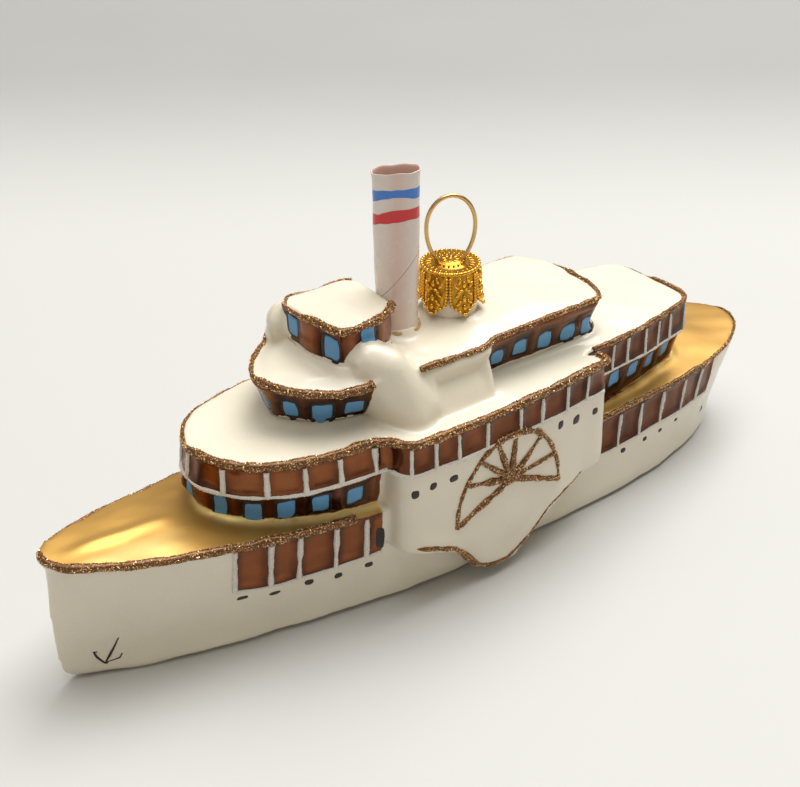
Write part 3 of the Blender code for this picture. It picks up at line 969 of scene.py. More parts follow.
def wall_normal(outline, x, y):
    """Outward level normal of a half outline where it passes nearest (x, y)."""
    best = None
    for (ax, ay), (bx, by) in zip(outline, outline[1:]):
        run = Vector((bx - ax, by - ay))
        if run.length < 1e-6:
            continue
        t = min(max((Vector((x, abs(y))) - Vector((ax, ay))).dot(run) / run.length_squared, 0), 1)
        gap = (Vector((ax, ay)) + t * run - Vector((x, abs(y)))).length
        if best is None or gap < best[0]:
            best = (gap, Vector((-run.y, run.x, 0)).normalized())
    out = best[1]
    if y < 0:
        out.y = -out.y
    return out


def resample(points, step):
    """Points at even steps along a route."""
    points = np.array(points, float)
    along = np.concatenate(([0], np.cumsum(np.linalg.norm(np.diff(points[:, :3], axis=0), axis=1))))
    at = np.linspace(0, along[-1], max(int(along[-1] / step), 2) + 1)
    return np.stack([np.interp(at, along, points[:, i]) for i in range(points.shape[1])], axis=1)


def relax(points, rounds):
    """Smooth a route, its ends kept."""
    points = points.copy()
    for _ in range(rounds):
        points[1:-1] = (points[:-2] + 2 * points[1:-1] + points[2:]) / 4
    return points


@functools.cache
def shell_tree():
    """Search tree over the finished shell in millimetres, for laying paint and glue on it.

    The bmesh operators leave faces in an order that changes between runs. Here corners and faces are put in
    the order of their places, so that each run lays the same bead.
    """
    shell = bpy.data.objects.get("glass_shell")
    if shell is None:
        raise RuntimeError("the glass shell comes before the paint and glue that lie on it")
    spots = places(shell.data) / MM
    order = np.lexsort(spots.T)
    rank = np.argsort(order).tolist()
    faces = []
    for face in shell.data.polygons:
        corners = [rank[corner] for corner in face.vertices]
        first = corners.index(min(corners))
        faces.append(corners[first:] + corners[:first])
    bm = bmesh.new()
    verts = [bm.verts.new(spot) for spot in spots[order]]
    for corners in sorted(faces):
        bm.faces.new([verts[corner] for corner in corners])
    bm.normal_update()
    tree = BVHTree.FromBMesh(bm)
    bm.free()
    return tree


def cast(start, heading):
    """Where a ray meets the shell, with the surface's normal."""
    spot, out, _, _ = shell_tree().ray_cast(Vector(start), Vector(heading).normalized())
    return spot, out


def on_wall(x, y, z, out, reach=9.0):
    """The shell's surface point seen from outside along a level normal, near (x, y, z)."""
    start = Vector((x, y, z)) + out * reach
    spot, _ = cast(start, -out)
    return spot if spot is not None else Vector((x, y, z))


# Blown glass shell


def deck_top(x, y):
    """Height of the main deck at (x, y)."""
    return sheer(x) + DECK_CAMBER * (1 - np.clip(np.abs(y) / DECK_BREADTH, 0, 1) ** 2)


def from_neck(place):
    """Level distance from the neck's axis."""
    return math.hypot(place.x - NECK_X, place.y)


def plugged_body():
    """The frame's glass body in millimetres, as one closed skin with the bore of its neck filled."""
    bm = in_millimetres(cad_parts["glass_body"].data)
    bmesh.ops.remove_doubles(bm, verts=bm.verts, dist=0.002)
    bore = {v for v in bm.verts if from_neck(v.co) < FRAME_BORE + 0.05 and v.co.z > BORE_FLOOR - 1}
    walls = [face for face in bm.faces if bore.issuperset(face.verts)]
    bmesh.ops.delete(bm, geom=walls, context="FACES")
    bmesh.ops.holes_fill(bm, edges=[e for e in bm.edges if e.is_boundary])
    for *place, radius in SHOULDER:
        bmesh.ops.create_icosphere(bm, subdivisions=4, radius=radius, matrix=Matrix.Translation(place))
    return to_mesh("glass_shell", bm)


def nearest_bar(bars, x, y):
    """Level distance to the nearest bar; bars are x places, or (x, y) places on a rounded front."""
    near = np.full(len(x), 1e9)
    for bar in bars:
        if isinstance(bar, tuple):
            near = np.minimum(near, np.hypot(x - bar[0], np.abs(y) - abs(bar[1])))
        else:
            near = np.minimum(near, np.abs(x - bar))
    return near


def behind_boxes(x, y):
    """How far points lie aft of the paddle boxes, whose corners reach further aft than their middle."""
    return np.where(np.abs(y) > 13.4, BOX_END, BOX_AFT) - 0.2 - x


def bands(x, y, z):
    """The painted rail bands, each as its depth at every point, foot, head and distance to a bar."""
    level = sheer(x)
    foot = rail_foot(x)
    on_box = [20.3 - x, x - BOX_END + 0.5, np.abs(y) - 13.6]
    # lowest and highest paint, level limits, foot and head of the panels, bars
    rows = (
        (foot, level - 0.25, [x - FORE_RAIL[0], FORE_RAIL[1] - x], foot, level, FORE_RAIL_BARS),
        (foot, level - 0.25, [x - AFTER_RAIL[0], AFTER_RAIL[1] - x], foot, level, AFTER_RAIL_BARS),
        (BAND_Z, PROMENADE_Z - 0.1, [x - 20.2], BAND_Z, PROMENADE_Z, NOSE_BARS),
        (BAND_Z, PROMENADE_Z - 0.1, on_box, BAND_Z, PROMENADE_Z, BOX_BARS),
        (BAND_Z - 0.3, AFTER_ROOF_Z - 0.1, [behind_boxes(x, y)], BAND_Z, AFTER_ROOF_Z, AFTER_BARS),
    )
    return [
        (np.minimum.reduce([z - low, high - z] + limits), bottom, top, nearest_bar(bars, x, y))
        for low, high, limits, bottom, top, bars in rows
    ]


def cabins(x, y, z):
    """Depth inside the brown cabin walls at every point, and how near each point is to a window."""
    deck = deck_top(x, y)
    # foot, head, level limits, windows
    walls = (
        (deck + 0.55, BAND_Z + 0.3, [x - 20.2], FORE_WINDOWS),
        (deck + 0.7, BAND_Z + 0.3, [behind_boxes(x, y)], AFTER_WINDOWS),
        (32.7, HOUSE_ROOF_Z - 0.15, [PANEL_AFT - 0.1 - x], HOUSE_WINDOWS),
        (32.7, BRIDGE_Z - 0.15, [x - 19.8], BRIDGE_WINDOWS),
        (41.4, WHEELHOUSE_ROOF_Z - 0.15, [x - WHEELHOUSE_AFT + 1.0, 8.9 - np.abs(y)], WHEELHOUSE_WINDOWS),
    )
    depth = np.full(len(x), -99.0)
    near = np.full(len(x), 9.0)
    for foot, head, limits, windows in walls:
        depth = np.maximum(depth, np.minimum.reduce([z - foot, head - z] + limits))
        for wx, wy, wz, wide, tall in windows:
            for side in sides_of(wy):
                away = np.maximum(np.hypot(x - wx, y - side * wy) / wide, np.abs(z - wz) / tall)
                near = np.minimum(near, away)
    return depth, near


def buttress_depth(co):
    """How far points lie inside the white buttresses beside the bridge."""
    depth = np.full(len(co), -99.0)
    folded = co * (1, 0, 1) + np.abs(co) * (0, 1, 0)
    for (*start, first), (*stop, second) in zip(BUTTRESS, BUTTRESS[1:]):
        run = np.subtract(stop, start)
        t = np.clip((folded - start) @ run / (run @ run), 0, 1)
        away = np.linalg.norm(folded - start - t[:, None] * run, axis=1)
        depth = np.maximum(depth, first + (second - first) * t - away)
    for *place, radius in SHOULDER:
        depth = np.maximum(depth, radius + 1.3 - np.linalg.norm(co - place, axis=1))
    return depth


def swell(co, out):
    """Height by which each point moves out, for the moulded detail and the blown glass's waves."""
    x, y, z = co.T
    level = ease(0.35, 0.8, 1 - np.abs(out[:, 2]))
    rise = np.zeros(len(x))
    for depth, foot, head, bar in bands(x, y, z):
        tall = np.minimum(z - foot, head - z)
        rise -= 0.32 * ease(0, 0.6, depth) * ease(0.3, 1.3, bar) * ease(0.5, 1.6, tall) * level
    depth, near = cabins(x, y, z)
    rise -= 0.3 * ease(0.0, 0.5, depth) * ease(1.5, 0.9, near) * level
    rise += 0.25 * ease(0.0, 0.5, depth) * ease(1.5, 2.4, near) * level
    within = np.minimum.reduce([x - PANEL_AFT - 1.2, 10.4 - x, HOUSE_ROOF_Z - 1.2 - z, np.abs(y) - 10])
    rise -= 1.5 * ease(0.0, 2.2, within) * ease(31.6, 37.0, z) * level
    panel_lip = bell(x - PANEL_AFT - 0.7, 0.5) * ease(32.5, 34, z) * ease(38.8, 37.5, z) * (np.abs(y) > 10)
    rise += 0.4 * panel_lip * level
    for heading, pitch, size in WAVES:
        rise += size * np.sin(pitch * (x * math.cos(heading) + (y + z) * math.sin(heading)) + 7 * heading)
    ridge = bell(y, 1.1) * ease(46, 60, x) * ease(68, 62, x) * ease(0.5, 0.9, out[:, 2])
    rise += 0.55 * ridge * (z > 20)
    hawse = np.hypot(x - 63.1, z - 7.8)
    rise += 0.18 * ease(1.9, 0.4, hawse) * level
    return rise


def fillets(co, out):
    """Lift of the flats where they run up into a wall."""
    x, y, z = co.T
    up = ease(0.3, 0.9, out[:, 2])
    # outline, lowest and highest flat, reach, rise
    rows = (
        (FORE_CABIN, 17.0, 23.5, 2.4, 0.45),
        (AFTER_CABIN, 16.0, 20.5, 2.4, 0.9),
        (HOUSE_FOOT, 30.5, 33.4, 1.8, 0.8),
        (BRIDGE_FOOT, 30.5, 33.4, 2.2, 1.0),
        (WHEELHOUSE, 39.0, 41.8, 1.8, 0.9),
    )
    lift = np.zeros(len(x))
    for outline, low, high, reach, rise in rows:
        gap = -depth_inside(outline, x, y)
        lift += rise * np.clip(1 - np.clip(gap, 0, None) / reach, 0, 1) ** 2 * up * (z > low) * (z < high)
    for centre, radius, reach in ((FUNNEL_X, 3.5, 1.6), (NECK_X, NECK_RADIUS, 2.2)):
        gap = np.clip(np.hypot(x - centre, y) - radius, 0, None)
        lift += 0.8 * np.clip(1 - gap / reach, 0, 1) ** 2 * up * (z > 38.5) * (z < 41.5)
    return lift


def drawn_boxes(co):
    """Draw the paddle boxes' after corners aft and their swept feet out and down, past the plain solid's."""
    x, y, z = co.T
    beyond = ease(13.3, 14.2, np.abs(y))
    out = ease(15.0, 16.5, np.abs(y)) * ease(-18, -15, x) * ease(18, 15, x)
    co[:, 0] += (BOX_END - BOX_AFT) * ease(-18.0, BOX_AFT, x) * beyond
    low = ease(3.0, 0.6, z - along(BOX_EDGE, x))
    co[:, 1] += np.sign(y) * out * (np.interp(z, (3.0, 5.2, 9.0, 11.6), (1.1, 0.7, 0.2, 0.0)) + 0.4 * low)
    co[:, 2] -= low * beyond * np.interp(np.abs(x), (4.0, 10.0), (1.3, 1.6))
    return co


def hull_foot(x, y, z, shift):
    """Fill out the hull's foot and its stem."""
    foot = 2.65 * np.exp(-z / 4.0) * ease(13.0, 8.0, z)
    ends = np.interp(x, (-66.0, -60.0, 50.0, 58.0, 68.0), (0.4, 1.0, 1.0, 0.7, 0.3))
    shift[:, 1] += foot * ends * np.clip(y / 2.0, -1, 1) * ease(15.0, 14.0, np.abs(y))
    shift[:, 0] += 1.1 * ease(-0.5, 3.0, z) * ease(22.5, 8.0, z) * ease(62.0, 68.0, x)


def wheelhouse_skew(x, y, z, shift):
    """Skew the wheelhouse and draw in its port after corner."""
    house = ease(40.3, 41.5, z) * ease(9.0, 11.5, x) * ease(27.0, 25.0, x) * ease(9.2, 8.2, np.abs(y))
    skew = 0.9 * ease(0.0, -6.0, y) - 0.3 * ease(2.0, 6.0, y)
    shift[:, 0] += house * (skew * ease(17.0, 22.0, x) - 1.0 * ease(16.0, 12.0, x))
    tuck = WHEELHOUSE_TUCK * ease(2.0, 6.0, y) * ease(17.0, 12.0, x)
    shift[:, 1] -= house * (0.8 * ease(2.0, -6.0, y) + tuck)


def house_edges(x, y, z, shift):
    """Shape the white panel's after end, the deckhouse's end and the bridge's brow."""
    panel = ease(4.0, -2.0, x) * (x > -3.2) * ease(9.3, 10.3, np.abs(y)) * ease(38.8, 37.0, z) * (z > 32)
    shift[:, 0] += 1.1 * panel
    end = ease(33.0, 34.0, z) * (z < 41) * ease(-23.5, -28.5, x)
    shift[:, 0] += end * (1.7 * ease(4.0, 9.5, np.abs(y)) - 0.5 * ease(5.0, 0.0, np.abs(y)))
    brow = ease(4.0, 0.6, depth_inside(BRIDGE, x, y)) * ease(19.0, 21.0, x) * ease(37.5, 39.3, z) * (z < 40.6)
    shift[:, 2] -= 0.7 * brow


def nose_push(x, y, z, shift):
    """Push the fore cabin's and the bridge's noses out on the starboard bow."""
    leftward = LEFTWARD.x * x + LEFTWARD.y * y
    cabin = np.interp(z, (21.0, 22.5, 24.0, 25.3, 26.3, 31.6, 31.8), (0.0, 1.1, 1.9, 1.6, 0.4, 0.6, 0.0))
    bridge = np.interp(z, (32.4, 33.5, 36.0, 40.6, 41.0), (0.0, 1.0, 0.9, 0.6, 0.0))
    push = cabin * ease(32.0, 36.5, leftward) + bridge * ease(21.5, 25.5, leftward) * (x < 36)
    shift[:, 0] += LEFTWARD.x * push
    shift[:, 1] += LEFTWARD.y * push


def drawn_hull(co):
    """Shift the plain solid's points to the mould's own shape, each part's shift from where they were."""
    shift = np.zeros_like(co)
    for part in (hull_foot, wheelhouse_skew, house_edges, nose_push):
        part(*co.T, shift)
    return co + shift


def paint_zones(mesh):
    """Store where the gold and brown lacquers lie, and the painted shade and painted highlights on them, for
    the material.
    """
    co = places(mesh)
    x, y, z = co.T
    level = sheer(x)
    deck = deck_top(x, y)
    ends = np.maximum(x - BOX_FORE - 0.9, behind_boxes(x, y))
    gold = np.minimum.reduce([z - level + 0.35, deck + 1.0 - z, ends])
    rails = bands(x, y, z)
    wall, near = cabins(x, y, z)
    wall = np.minimum(wall, np.where(z > 33, -buttress_depth(co) - 0.2, 9))
    brown = np.maximum.reduce([wall] + [row[0] for row in rails])
    brown -= 2 * ease(0.6, 0.9, normals(mesh)[:, 2]) * (z > 25)
    # Painted shade on the brown walls: darker round the windows, lighter away from them
    shade = 0.12 + 0.75 * ease(1.25, 2.6, near)
    # Painted shade on the rail panels: darker by the bars, at the panels' foot and head and further aft,
    # lighter in their middles
    forward = np.interp(x, (-25, 10, 22), (0.5, 0.75, 1.1))
    for depth, foot, head, bar in rails:
        tall = np.minimum(z - foot, head - z)
        panel = 0.3 + 0.55 * ease(0.4, 2.0, bar) * ease(0.2, 1.6, tall)
        shade = np.where(depth > -0.3, panel * forward, shade)
    cabin_gap = np.minimum(-depth_inside(FORE_CABIN, x, y), -depth_inside(AFTER_CABIN, x, y))
    cabin_gap = np.where(cabin_gap < -3, 9, cabin_gap)
    # Painted light on the gold: lighter towards the bow and in a band along the cabins' foot, darker aft
    painted_light = np.where(x > 0, 0.4, 0.3) + 0.55 * ease(42, 66, x) + 0.5 * bell(cabin_gap - 0.8, 0.9)
    # Painted highlights on the gold: a bright patch on the port bow and a bright line along the cabins' foot,
    # broken up aft
    bow_highlight = 0.4 * ease(1.6, 4.2, y) * ease(48, 57, x) * ease(69, 64, x)
    painted_highlight = bell(cabin_gap - 0.6, 0.7) * np.where(x > 0, 1.0, 0.25 + 0.2 * np.sin(1.25 * x)) + bow_highlight
    set_attribute(mesh, "gold", gold)
    set_attribute(mesh, "brown", brown)
    set_attribute(mesh, "shade", shade)
    set_attribute(mesh, "painted_light", np.clip(painted_light, 0, 1))
    set_attribute(mesh, "painted_highlight", np.clip(painted_highlight, 0, 1))


def open_bore(mesh):
    """Cut the neck's bore down into the shell."""
    bm = bmesh.new()
    bm.from_mesh(mesh)
    middles = [(face, face.calc_center_median()) for face in bm.faces]
    plug = [face for face, middle in middles if from_neck(middle) < NECK_BORE and middle.z > NECK_TOP - 1.5]
    bmesh.ops.delete(bm, geom=plug, context="FACES")
    rim = [e for e in bm.edges if e.is_boundary]
    for vert in {v for e in rim for v in e.verts}:
        turn = math.atan2(vert.co.y, vert.co.x - NECK_X)
        vert.co.x = NECK_X + NECK_BORE * math.cos(turn)
        vert.co.y = NECK_BORE * math.sin(turn)
    for depth in (NECK_TOP - 1.0, 40.0, 33.0, BORE_FLOOR):
        made = bmesh.ops.extrude_edge_only(bm, edges=rim)["geom"]
        rim = [e for e in made if isinstance(e, bmesh.types.BMEdge) and e.is_boundary]
        for vert in {v for e in rim for v in e.verts}:
            vert.co.z = depth
    bmesh.ops.edgeloop_fill(bm, edges=rim)
    bmesh.ops.recalc_face_normals(bm, faces=bm.faces)
    return in_metres(to_mesh("glass_shell", bm))


def glass_shell():
    """Blown shell: the solid rounded, shaped like its mould, waved and painted."""
    look = bpy.context.scene.ornament_shell
    mesh = baked(
        plugged_body(),
        ("REMESH", {"mode": "VOXEL", "voxel_size": look.grain / MM}),
        ("SMOOTH", {"factor": 0.5, "iterations": look.rounding}),
    )
    set_places(mesh, drawn_hull(drawn_boxes(places(mesh))))
    co = places(mesh)
    out = normals(mesh)
    co = co + out * swell(co, out)[:, None]
    co[:, 2] += fillets(co, out)
    set_places(mesh, co)
    mesh = baked(mesh, ("SMOOTH", {"factor": 0.5, "iterations": 2}))
    paint_zones(mesh)
    item = piece("glass_shell", open_bore(mesh), "ornament", "lacquered_glass", lacquered_glass())
    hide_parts("glass_body")


# Painted windows, portholes, doors and anchors


def patch(bm, centre, out, wide, tall, lift, corner=0.55, wobble=0.0, seed=0, cells=9, slant=0.0):
    """Lay a spot of paint on the shell: a grid rounded to its outline and landed on the surface."""
    draw = np.random.default_rng(seed)
    phases = draw.uniform(0, 2 * math.pi, 4)
    if abs(out.z) < 0.9:
        _, lean, _, _ = shell_tree().find_nearest(centre)
        out = (out + lean).normalized()
    across = UP.cross(out).normalized()
    rise = out.cross(across)
    made = bmesh.ops.create_grid(bm, x_segments=cells, y_segments=cells, size=1.0)
    for vert in made["verts"]:
        u, v = vert.co.x, vert.co.y
        edge = max(abs(u), abs(v))
        u, v = u * math.sqrt(1 - corner * v * v / 2), v * math.sqrt(1 - corner * u * u / 2)
        turn = math.atan2(v, u)
        reach = 1 + wobble * sum(math.sin((k + 2) * turn + phases[k]) / (k + 1.5) for k in range(4))
        aim = centre + across * (u * reach * wide) + rise * (v * reach * tall)
        aim.x += slant * v * tall
        spot, _ = cast(aim + out * 1.5, -out)
        rise_by = 0.0 if spot is None else min(max((spot - aim).dot(out), -0.7), 0.4)
        vert.co = aim + out * (rise_by + lift * (1 - edge**6) - 0.02)


def painted(name, bm, material, depth=0.12):
    """Link spots of paint as a piece, each a little thick and closed towards the glass."""
    mesh = to_mesh(name, bm)
    mesh = baked(mesh, ("SOLIDIFY", {"thickness": depth, "offset": -1.0, "use_even_offset": False}))
    piece(name, in_metres(mesh), "ornament", "lacquered_glass", material)


def windows():
    """Blue panes over slightly larger spots of black."""
    look = bpy.context.scene.ornament_shell
    panes, frames = bmesh.new(), bmesh.new()
    walls = (
        (FORE_CABIN, FORE_WINDOWS),
        (AFTER_CABIN, AFTER_WINDOWS),
        (HOUSE, HOUSE_WINDOWS),
        (BRIDGE_FOOT, BRIDGE_WINDOWS),
        (WHEELHOUSE, WHEELHOUSE_WINDOWS),
    )
    every = [(wall, *row, side) for wall, rows in walls for row in rows for side in sides_of(row[1])]
    for seed, (wall, x, y, z, wide, tall, side) in enumerate(every, 1):
        out = wall_normal(wall, x, side * y)
        centre = on_wall(x, side * y, z, out)
        slant = 0.22 if x < 0 else 0.0
        patch(panes, centre, out, wide, tall, 0.16, 0.4, 0.06, seed, slant=slant)
        centre += UP.cross(out) * (0.18 * math.sin(seed * 2.1))
        patch(frames, centre, out, wide + 0.32, tall + 0.3, 0.07, 0.45, 0.06, seed, slant=slant)
    blue = enamel("window_enamel", tuple(look.pane), tuple(c * 0.8 for c in look.pane))
    painted("window_panes", panes, blue)
    painted("window_frames", frames, ink_enamel())


def portholes():
    """Dark portholes in black rims, and the hull's two doors."""
    lights, rims = bmesh.new(), bmesh.new()
    every = [(*row, side) for row in FORE_PORTS + BOX_PORTS + AFTER_PORTS for side in SIDES]
    for seed, (x, z, wide, tall, side) in enumerate(every, 101):
        out = Vector((0.0, side, 0.0))
        centre = on_wall(x, side * 14.0, z, out, 12.0)
        patch(lights, centre, out, wide * 0.8, tall * 0.8, 0.1, 1.0, 0.06, seed, 6)
        patch(rims, centre, out, wide, tall, 0.05, 1.0, 0.08, seed, 6)
    for side in SIDES:
        out = Vector((0.0, side, 0.0))
        centre = on_wall(20.9, side * 13.6, 13.0, out)
        patch(rims, centre, out, 0.8, 2.3, 0.06, 0.7, 0.04, 7, 8)
    painted("porthole_lights", lights, enamel("porthole_enamel", (0.04, 0.028, 0.022), (0.014, 0.010, 0.008)))
    painted("porthole_rims", rims, ink_enamel())


def tubes(routes, sides=8):
    """A mesh in millimetres of round tubes; a route is rows of x, y, z and radius, rounded to a micron."""
    curve = bpy.data.curves.new("tubes", "CURVE")
    curve.dimensions = "3D"
    curve.bevel_depth = 1.0
    curve.bevel_resolution = (sides - 4) // 2
    curve.use_fill_caps = True
    for route in routes:
        spline = curve.splines.new("POLY")
        spline.points.add(len(route) - 1)
        for point, (x, y, z, radius) in zip(spline.points, np.round(route, 3)):
            point.co = (x, y, z, 1)
            point.radius = radius
    item = bpy.data.objects.new("tubes", curve)
    bpy.context.scene.collection.objects.link(item)
    graph = bpy.context.evaluated_depsgraph_get()
    mesh = bpy.data.meshes.new_from_object(item.evaluated_get(graph), depsgraph=graph)
    bpy.data.objects.remove(item)
    bpy.data.curves.remove(curve)
    return mesh


# Strokes of the anchor drawn at each bow and of the mark at each quarter, as x, height and half breadth
ANCHOR = (
    ((61.6, 7.0, 0.07), (62.2, 5.4, 0.12), (63.0, 3.8, 0.17), (63.8, 2.5, 0.08)),
    (
        (65.0, 4.2, 0.08),
        (65.2, 5.0, 0.12),
        (64.9, 4.0, 0.15),
        (64.4, 3.2, 0.13),
        (63.8, 2.4, 0.12),
        (63.4, 2.4, 0.08),
    ),
    ((63.6, 2.6, 0.06), (62.6, 2.7, 0.07), (61.7, 2.9, 0.1), (61.3, 3.7, 0.07)),
    ((65.3, 5.0, 0.1), (64.7, 4.9, 0.07)),
)
STERN_MARK = (
    ((-56.4, 6.6, 0.08), (-57.2, 5.8, 0.13), (-57.8, 4.8, 0.08)),
    ((-56.6, 5.2, 0.07), (-57.6, 5.6, 0.1)),
)


def anchors():
    """Brush strokes of ink laid on the hull."""
    routes = []
    for stroke in ANCHOR + STERN_MARK:
        for side in SIDES:
            route = []
            for x, z, radius in resample(stroke, 0.25):
                spot = on_wall(x, side * 5.0, z, Vector((0, side, 0)), 14.0)
                route.append((*spot, radius * 1.3))
            routes.append(route)
    piece("anchor_strokes", in_metres(tubes(routes, 6)), "ornament", "lacquered_glass", ink_enamel())


# Glitter glue


@functools.cache
def flake_nodes(fine):
    """Geometry nodes that scatter flakes over a bead of glue, each with its own value of tone and painted
    glint.
    """
    look = bpy.context.scene.ornament_glitter
    tree = bpy.data.node_groups.new("Glitter Flakes", "GeometryNodeTree")
    tree.interface.new_socket("Geometry", in_out="INPUT", socket_type="NodeSocketGeometry")
    tree.interface.new_socket("Geometry", in_out="OUTPUT", socket_type="NodeSocketGeometry")
    bead = tree.nodes.new("NodeGroupInput").outputs[0]
    out = tree.nodes.new("NodeGroupOutput").inputs[0]
    spots = add_node(
        tree, "GeometryNodeDistributePointsOnFaces", {"Mesh": bead, "Density": look.cover / fine, "Seed": 3}
    )
    cone = {"Vertices": 3, "Radius Top": 0.0, "Radius Bottom": 1.0, "Depth": 0.5}
    flake = add_node(tree, "GeometryNodeMeshCone", cone)
    all_round = {"Min": (0, 0, 0), "Max": (2 * math.pi,) * 3, "Seed": 5}
    turn = add_node(tree, "FunctionNodeRandomValue", all_round, data_type="FLOAT_VECTOR")
    half = look.flake / MM / 2 * fine
    spread = {2: 0.6 * half, 3: 1.35 * half, "Seed": 6}
    size = add_node(tree, "FunctionNodeRandomValue", spread, data_type="FLOAT")
    inputs = {
        "Points": spots.outputs["Points"],
        "Instance": flake.outputs["Mesh"],
        "Rotation": turn.outputs[0],
        "Scale": size.outputs[1],
    }
    scattered = add_node(tree, "GeometryNodeInstanceOnPoints", inputs)
    tone_and_glint = add_node(tree, "FunctionNodeRandomValue", {2: 0.0, 3: 1.0, "Seed": 7}, data_type="FLOAT")
    inputs = {"Geometry": scattered.outputs["Instances"], "Name": "tone_and_glint", "Value": tone_and_glint.outputs[1]}
    stored = add_node(
        tree, "GeometryNodeStoreNamedAttribute", inputs, data_type="FLOAT", domain="INSTANCE"
    )
    real = add_node(tree, "GeometryNodeRealizeInstances", {"Geometry": stored.outputs["Geometry"]})
    joined = tree.nodes.new("GeometryNodeJoinGeometry")
    tree.links.new(real.outputs["Geometry"], joined.inputs[0])
    tree.links.new(bead, joined.inputs[0])
    tree.links.new(joined.outputs[0], out)
    return tree


def glitter_piece(name, routes, material, *nodes, fine=1.0):
    """Beads of glue along routes of x, y, z and radius, covered with flakes; fine scales the flakes."""
    mesh = baked(tubes(routes, 8), ("NODES", {"node_group": flake_nodes(fine)}))
    mesh.transform(Matrix.Scale(MM, 4))
    item = piece(name, mesh, "ornament", "copper_glitter", material)
    if nodes:
        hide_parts(*nodes)


def uneven(count, seed, amount=0.14):
    """Slowly wandering factors about one, as a hand squeezes the glue."""
    draw = np.random.default_rng(seed).normal(0, 1, count + 8)
    kernel = np.array((1, 2, 3, 2, 1)) / 9
    return 1 + amount * np.convolve(draw, kernel, "same")[4 : count + 4] * 1.6


def edge_route(points, seed):
    """A bead along an edge of the shell, from rows of x, y, height and radius.

    On port it lies on top of the edge, and on starboard outside of it, a little lower.
    """
    line = resample(points, 0.5)
    middle = line[:, :2].mean(axis=0)
    run = np.gradient(line[:, :2], axis=0)
    side = np.stack([-run[:, 1], run[:, 0]], axis=1)
    side /= np.maximum(np.linalg.norm(side, axis=1), 1e-9)[:, None]
    if np.sum(side * (line[:, :2] - middle)) < 0:
        side = -side
    spots = []
    for (x, y, z, radius), (nx, ny) in zip(line, side):
        port = ease(-3.0, 1.5, y)
        out_by = 0.5 - 0.6 * port
        aim = Vector((x + nx * out_by, y + ny * out_by, z - 0.5 + 0.75 * port))
        spot, normal, _, _ = shell_tree().find_nearest(aim)
        spots.append(spot + normal * (radius * (0.1 + 0.25 * port)))
    spots = relax(np.array(spots), 2)
    port = ease(-3.0, 1.5, spots[:, 1])
    return np.column_stack([spots, line[:, 3] * (0.5 + 0.45 * port) * uneven(len(spots), seed)])


def clipped(outline, start, stop):
    """The part of a half outline between two values of x, cut exactly at both."""
    kept = []
    for (x0, w0), (x1, w1) in zip(outline, outline[1:]):
        for cut in (start, stop):
            if min(x0, x1) < cut < max(x0, x1):
                kept.append((cut, w0 + (w1 - w0) * (cut - x0) / (x1 - x0)))
        if start < x1 < stop:
            kept.append((x1, w1))
    return kept


def round_edge(half, height, radius=0.5):
    """A half outline taken round to the other side, as x, y, height and radius.

    The height and the radius are numbers or functions of x.
    """
    whole = list(half) + [(x, -w) for x, w in half[::-1] if w > 0.01]
    rows = []
    for x, y in whole:
        z, thick = (float(given(x)) if callable(given) else given for given in (height, radius))
        rows.append((x, y, z, thick))
    return rows


def promenade_half():
    """Half edge of the promenade deck, from the paddle box's drawn out after corner to the nose."""
    half = [(BOX_END + 0.5, 14.2)]
    for x, y in BOXES:
        if x < BOX_FORE - 0.1 and y > 15:
            half.append((x + (BOX_END - BOX_AFT) * float(ease(-18.0, BOX_AFT, x)), y))
    return half + [p for p in PROMENADE if p[0] > 20.5]


def wheelhouse_edge():
    """Edge of the wheelhouse's roof, with its port after corner drawn in."""
    front = [p for p in WHEELHOUSE if p[0] > 11.9]
    edge = round_edge(front, WHEELHOUSE_ROOF_Z, 0.6)
    for index, (x, y, z, radius) in enumerate(edge[: len(front)]):
        y -= WHEELHOUSE_TUCK * float(ease(17.0, 12.0, x))
        edge[index] = (x - float(ease(16.0, 12.0, x)), y, z, radius)
    return edge


def copper_edges():
    """Copper lines along the edges of the decks and roofs."""
    after_deck = clipped(DECK[::-1], STERN - 1, BOX_END - 0.1)
    after_radius = ((STERN, 0.26), (-60.0, 0.3), (-50.0, 0.42), (BOX_AFT, 0.56))
    after_roof = clipped(AFTER_ROOF[::-1], AFTER_END - 1, BOX_END + 0.1)
    panel = [(x, PANEL_BREADTH) for x in (11.8, 8.0, 4.0, -0.5)]
    house = panel + clipped(HOUSE[::-1], HOUSE_END - 1, PANEL_AFT - 1.0)
    edges = (
        ("fore_gunwale", round_edge(clipped(DECK, BOX_FORE + 1.2, BOW + 1), sheer, 0.7)),
        ("aft_gunwale", round_edge(after_deck, sheer, lambda x: along(after_radius, x))),
        ("promenade", round_edge(promenade_half(), PROMENADE_Z, 0.7)),
        ("after_roof", round_edge(after_roof, AFTER_ROOF_Z, 0.46)),
        ("bridge", round_edge(clipped(BRIDGE, 20.3, BRIDGE_TIP + 1), BRIDGE_Z, 0.72)),
        ("wheelhouse", wheelhouse_edge()),
        ("deckhouse", round_edge(house, HOUSE_ROOF_Z, lambda x: along(((-8.0, 0.46), (0.0, 0.6)), x))),
    )
    for seed, (name, edge) in enumerate(edges, 1):
        glitter_piece(f"copper_{name}", [edge_route(edge, seed)], copper_glitter(), f"bead_{name}")


def rim_reach(turn):
    """Distance from the wheel's hub to its arched rim in one direction."""
    rise, run = math.sin(turn), math.cos(turn)
    drop = WHEEL_HUB_Z - WHEEL_FOOT_Z
    square = (run / WHEEL_HALF_WIDTH) ** 2 + (rise / WHEEL_RISE) ** 2
    middle = rise * drop / WHEEL_RISE**2
    rest = (drop / WHEEL_RISE) ** 2 - 1
    return (math.sqrt(middle**2 - square * rest) - middle) / square


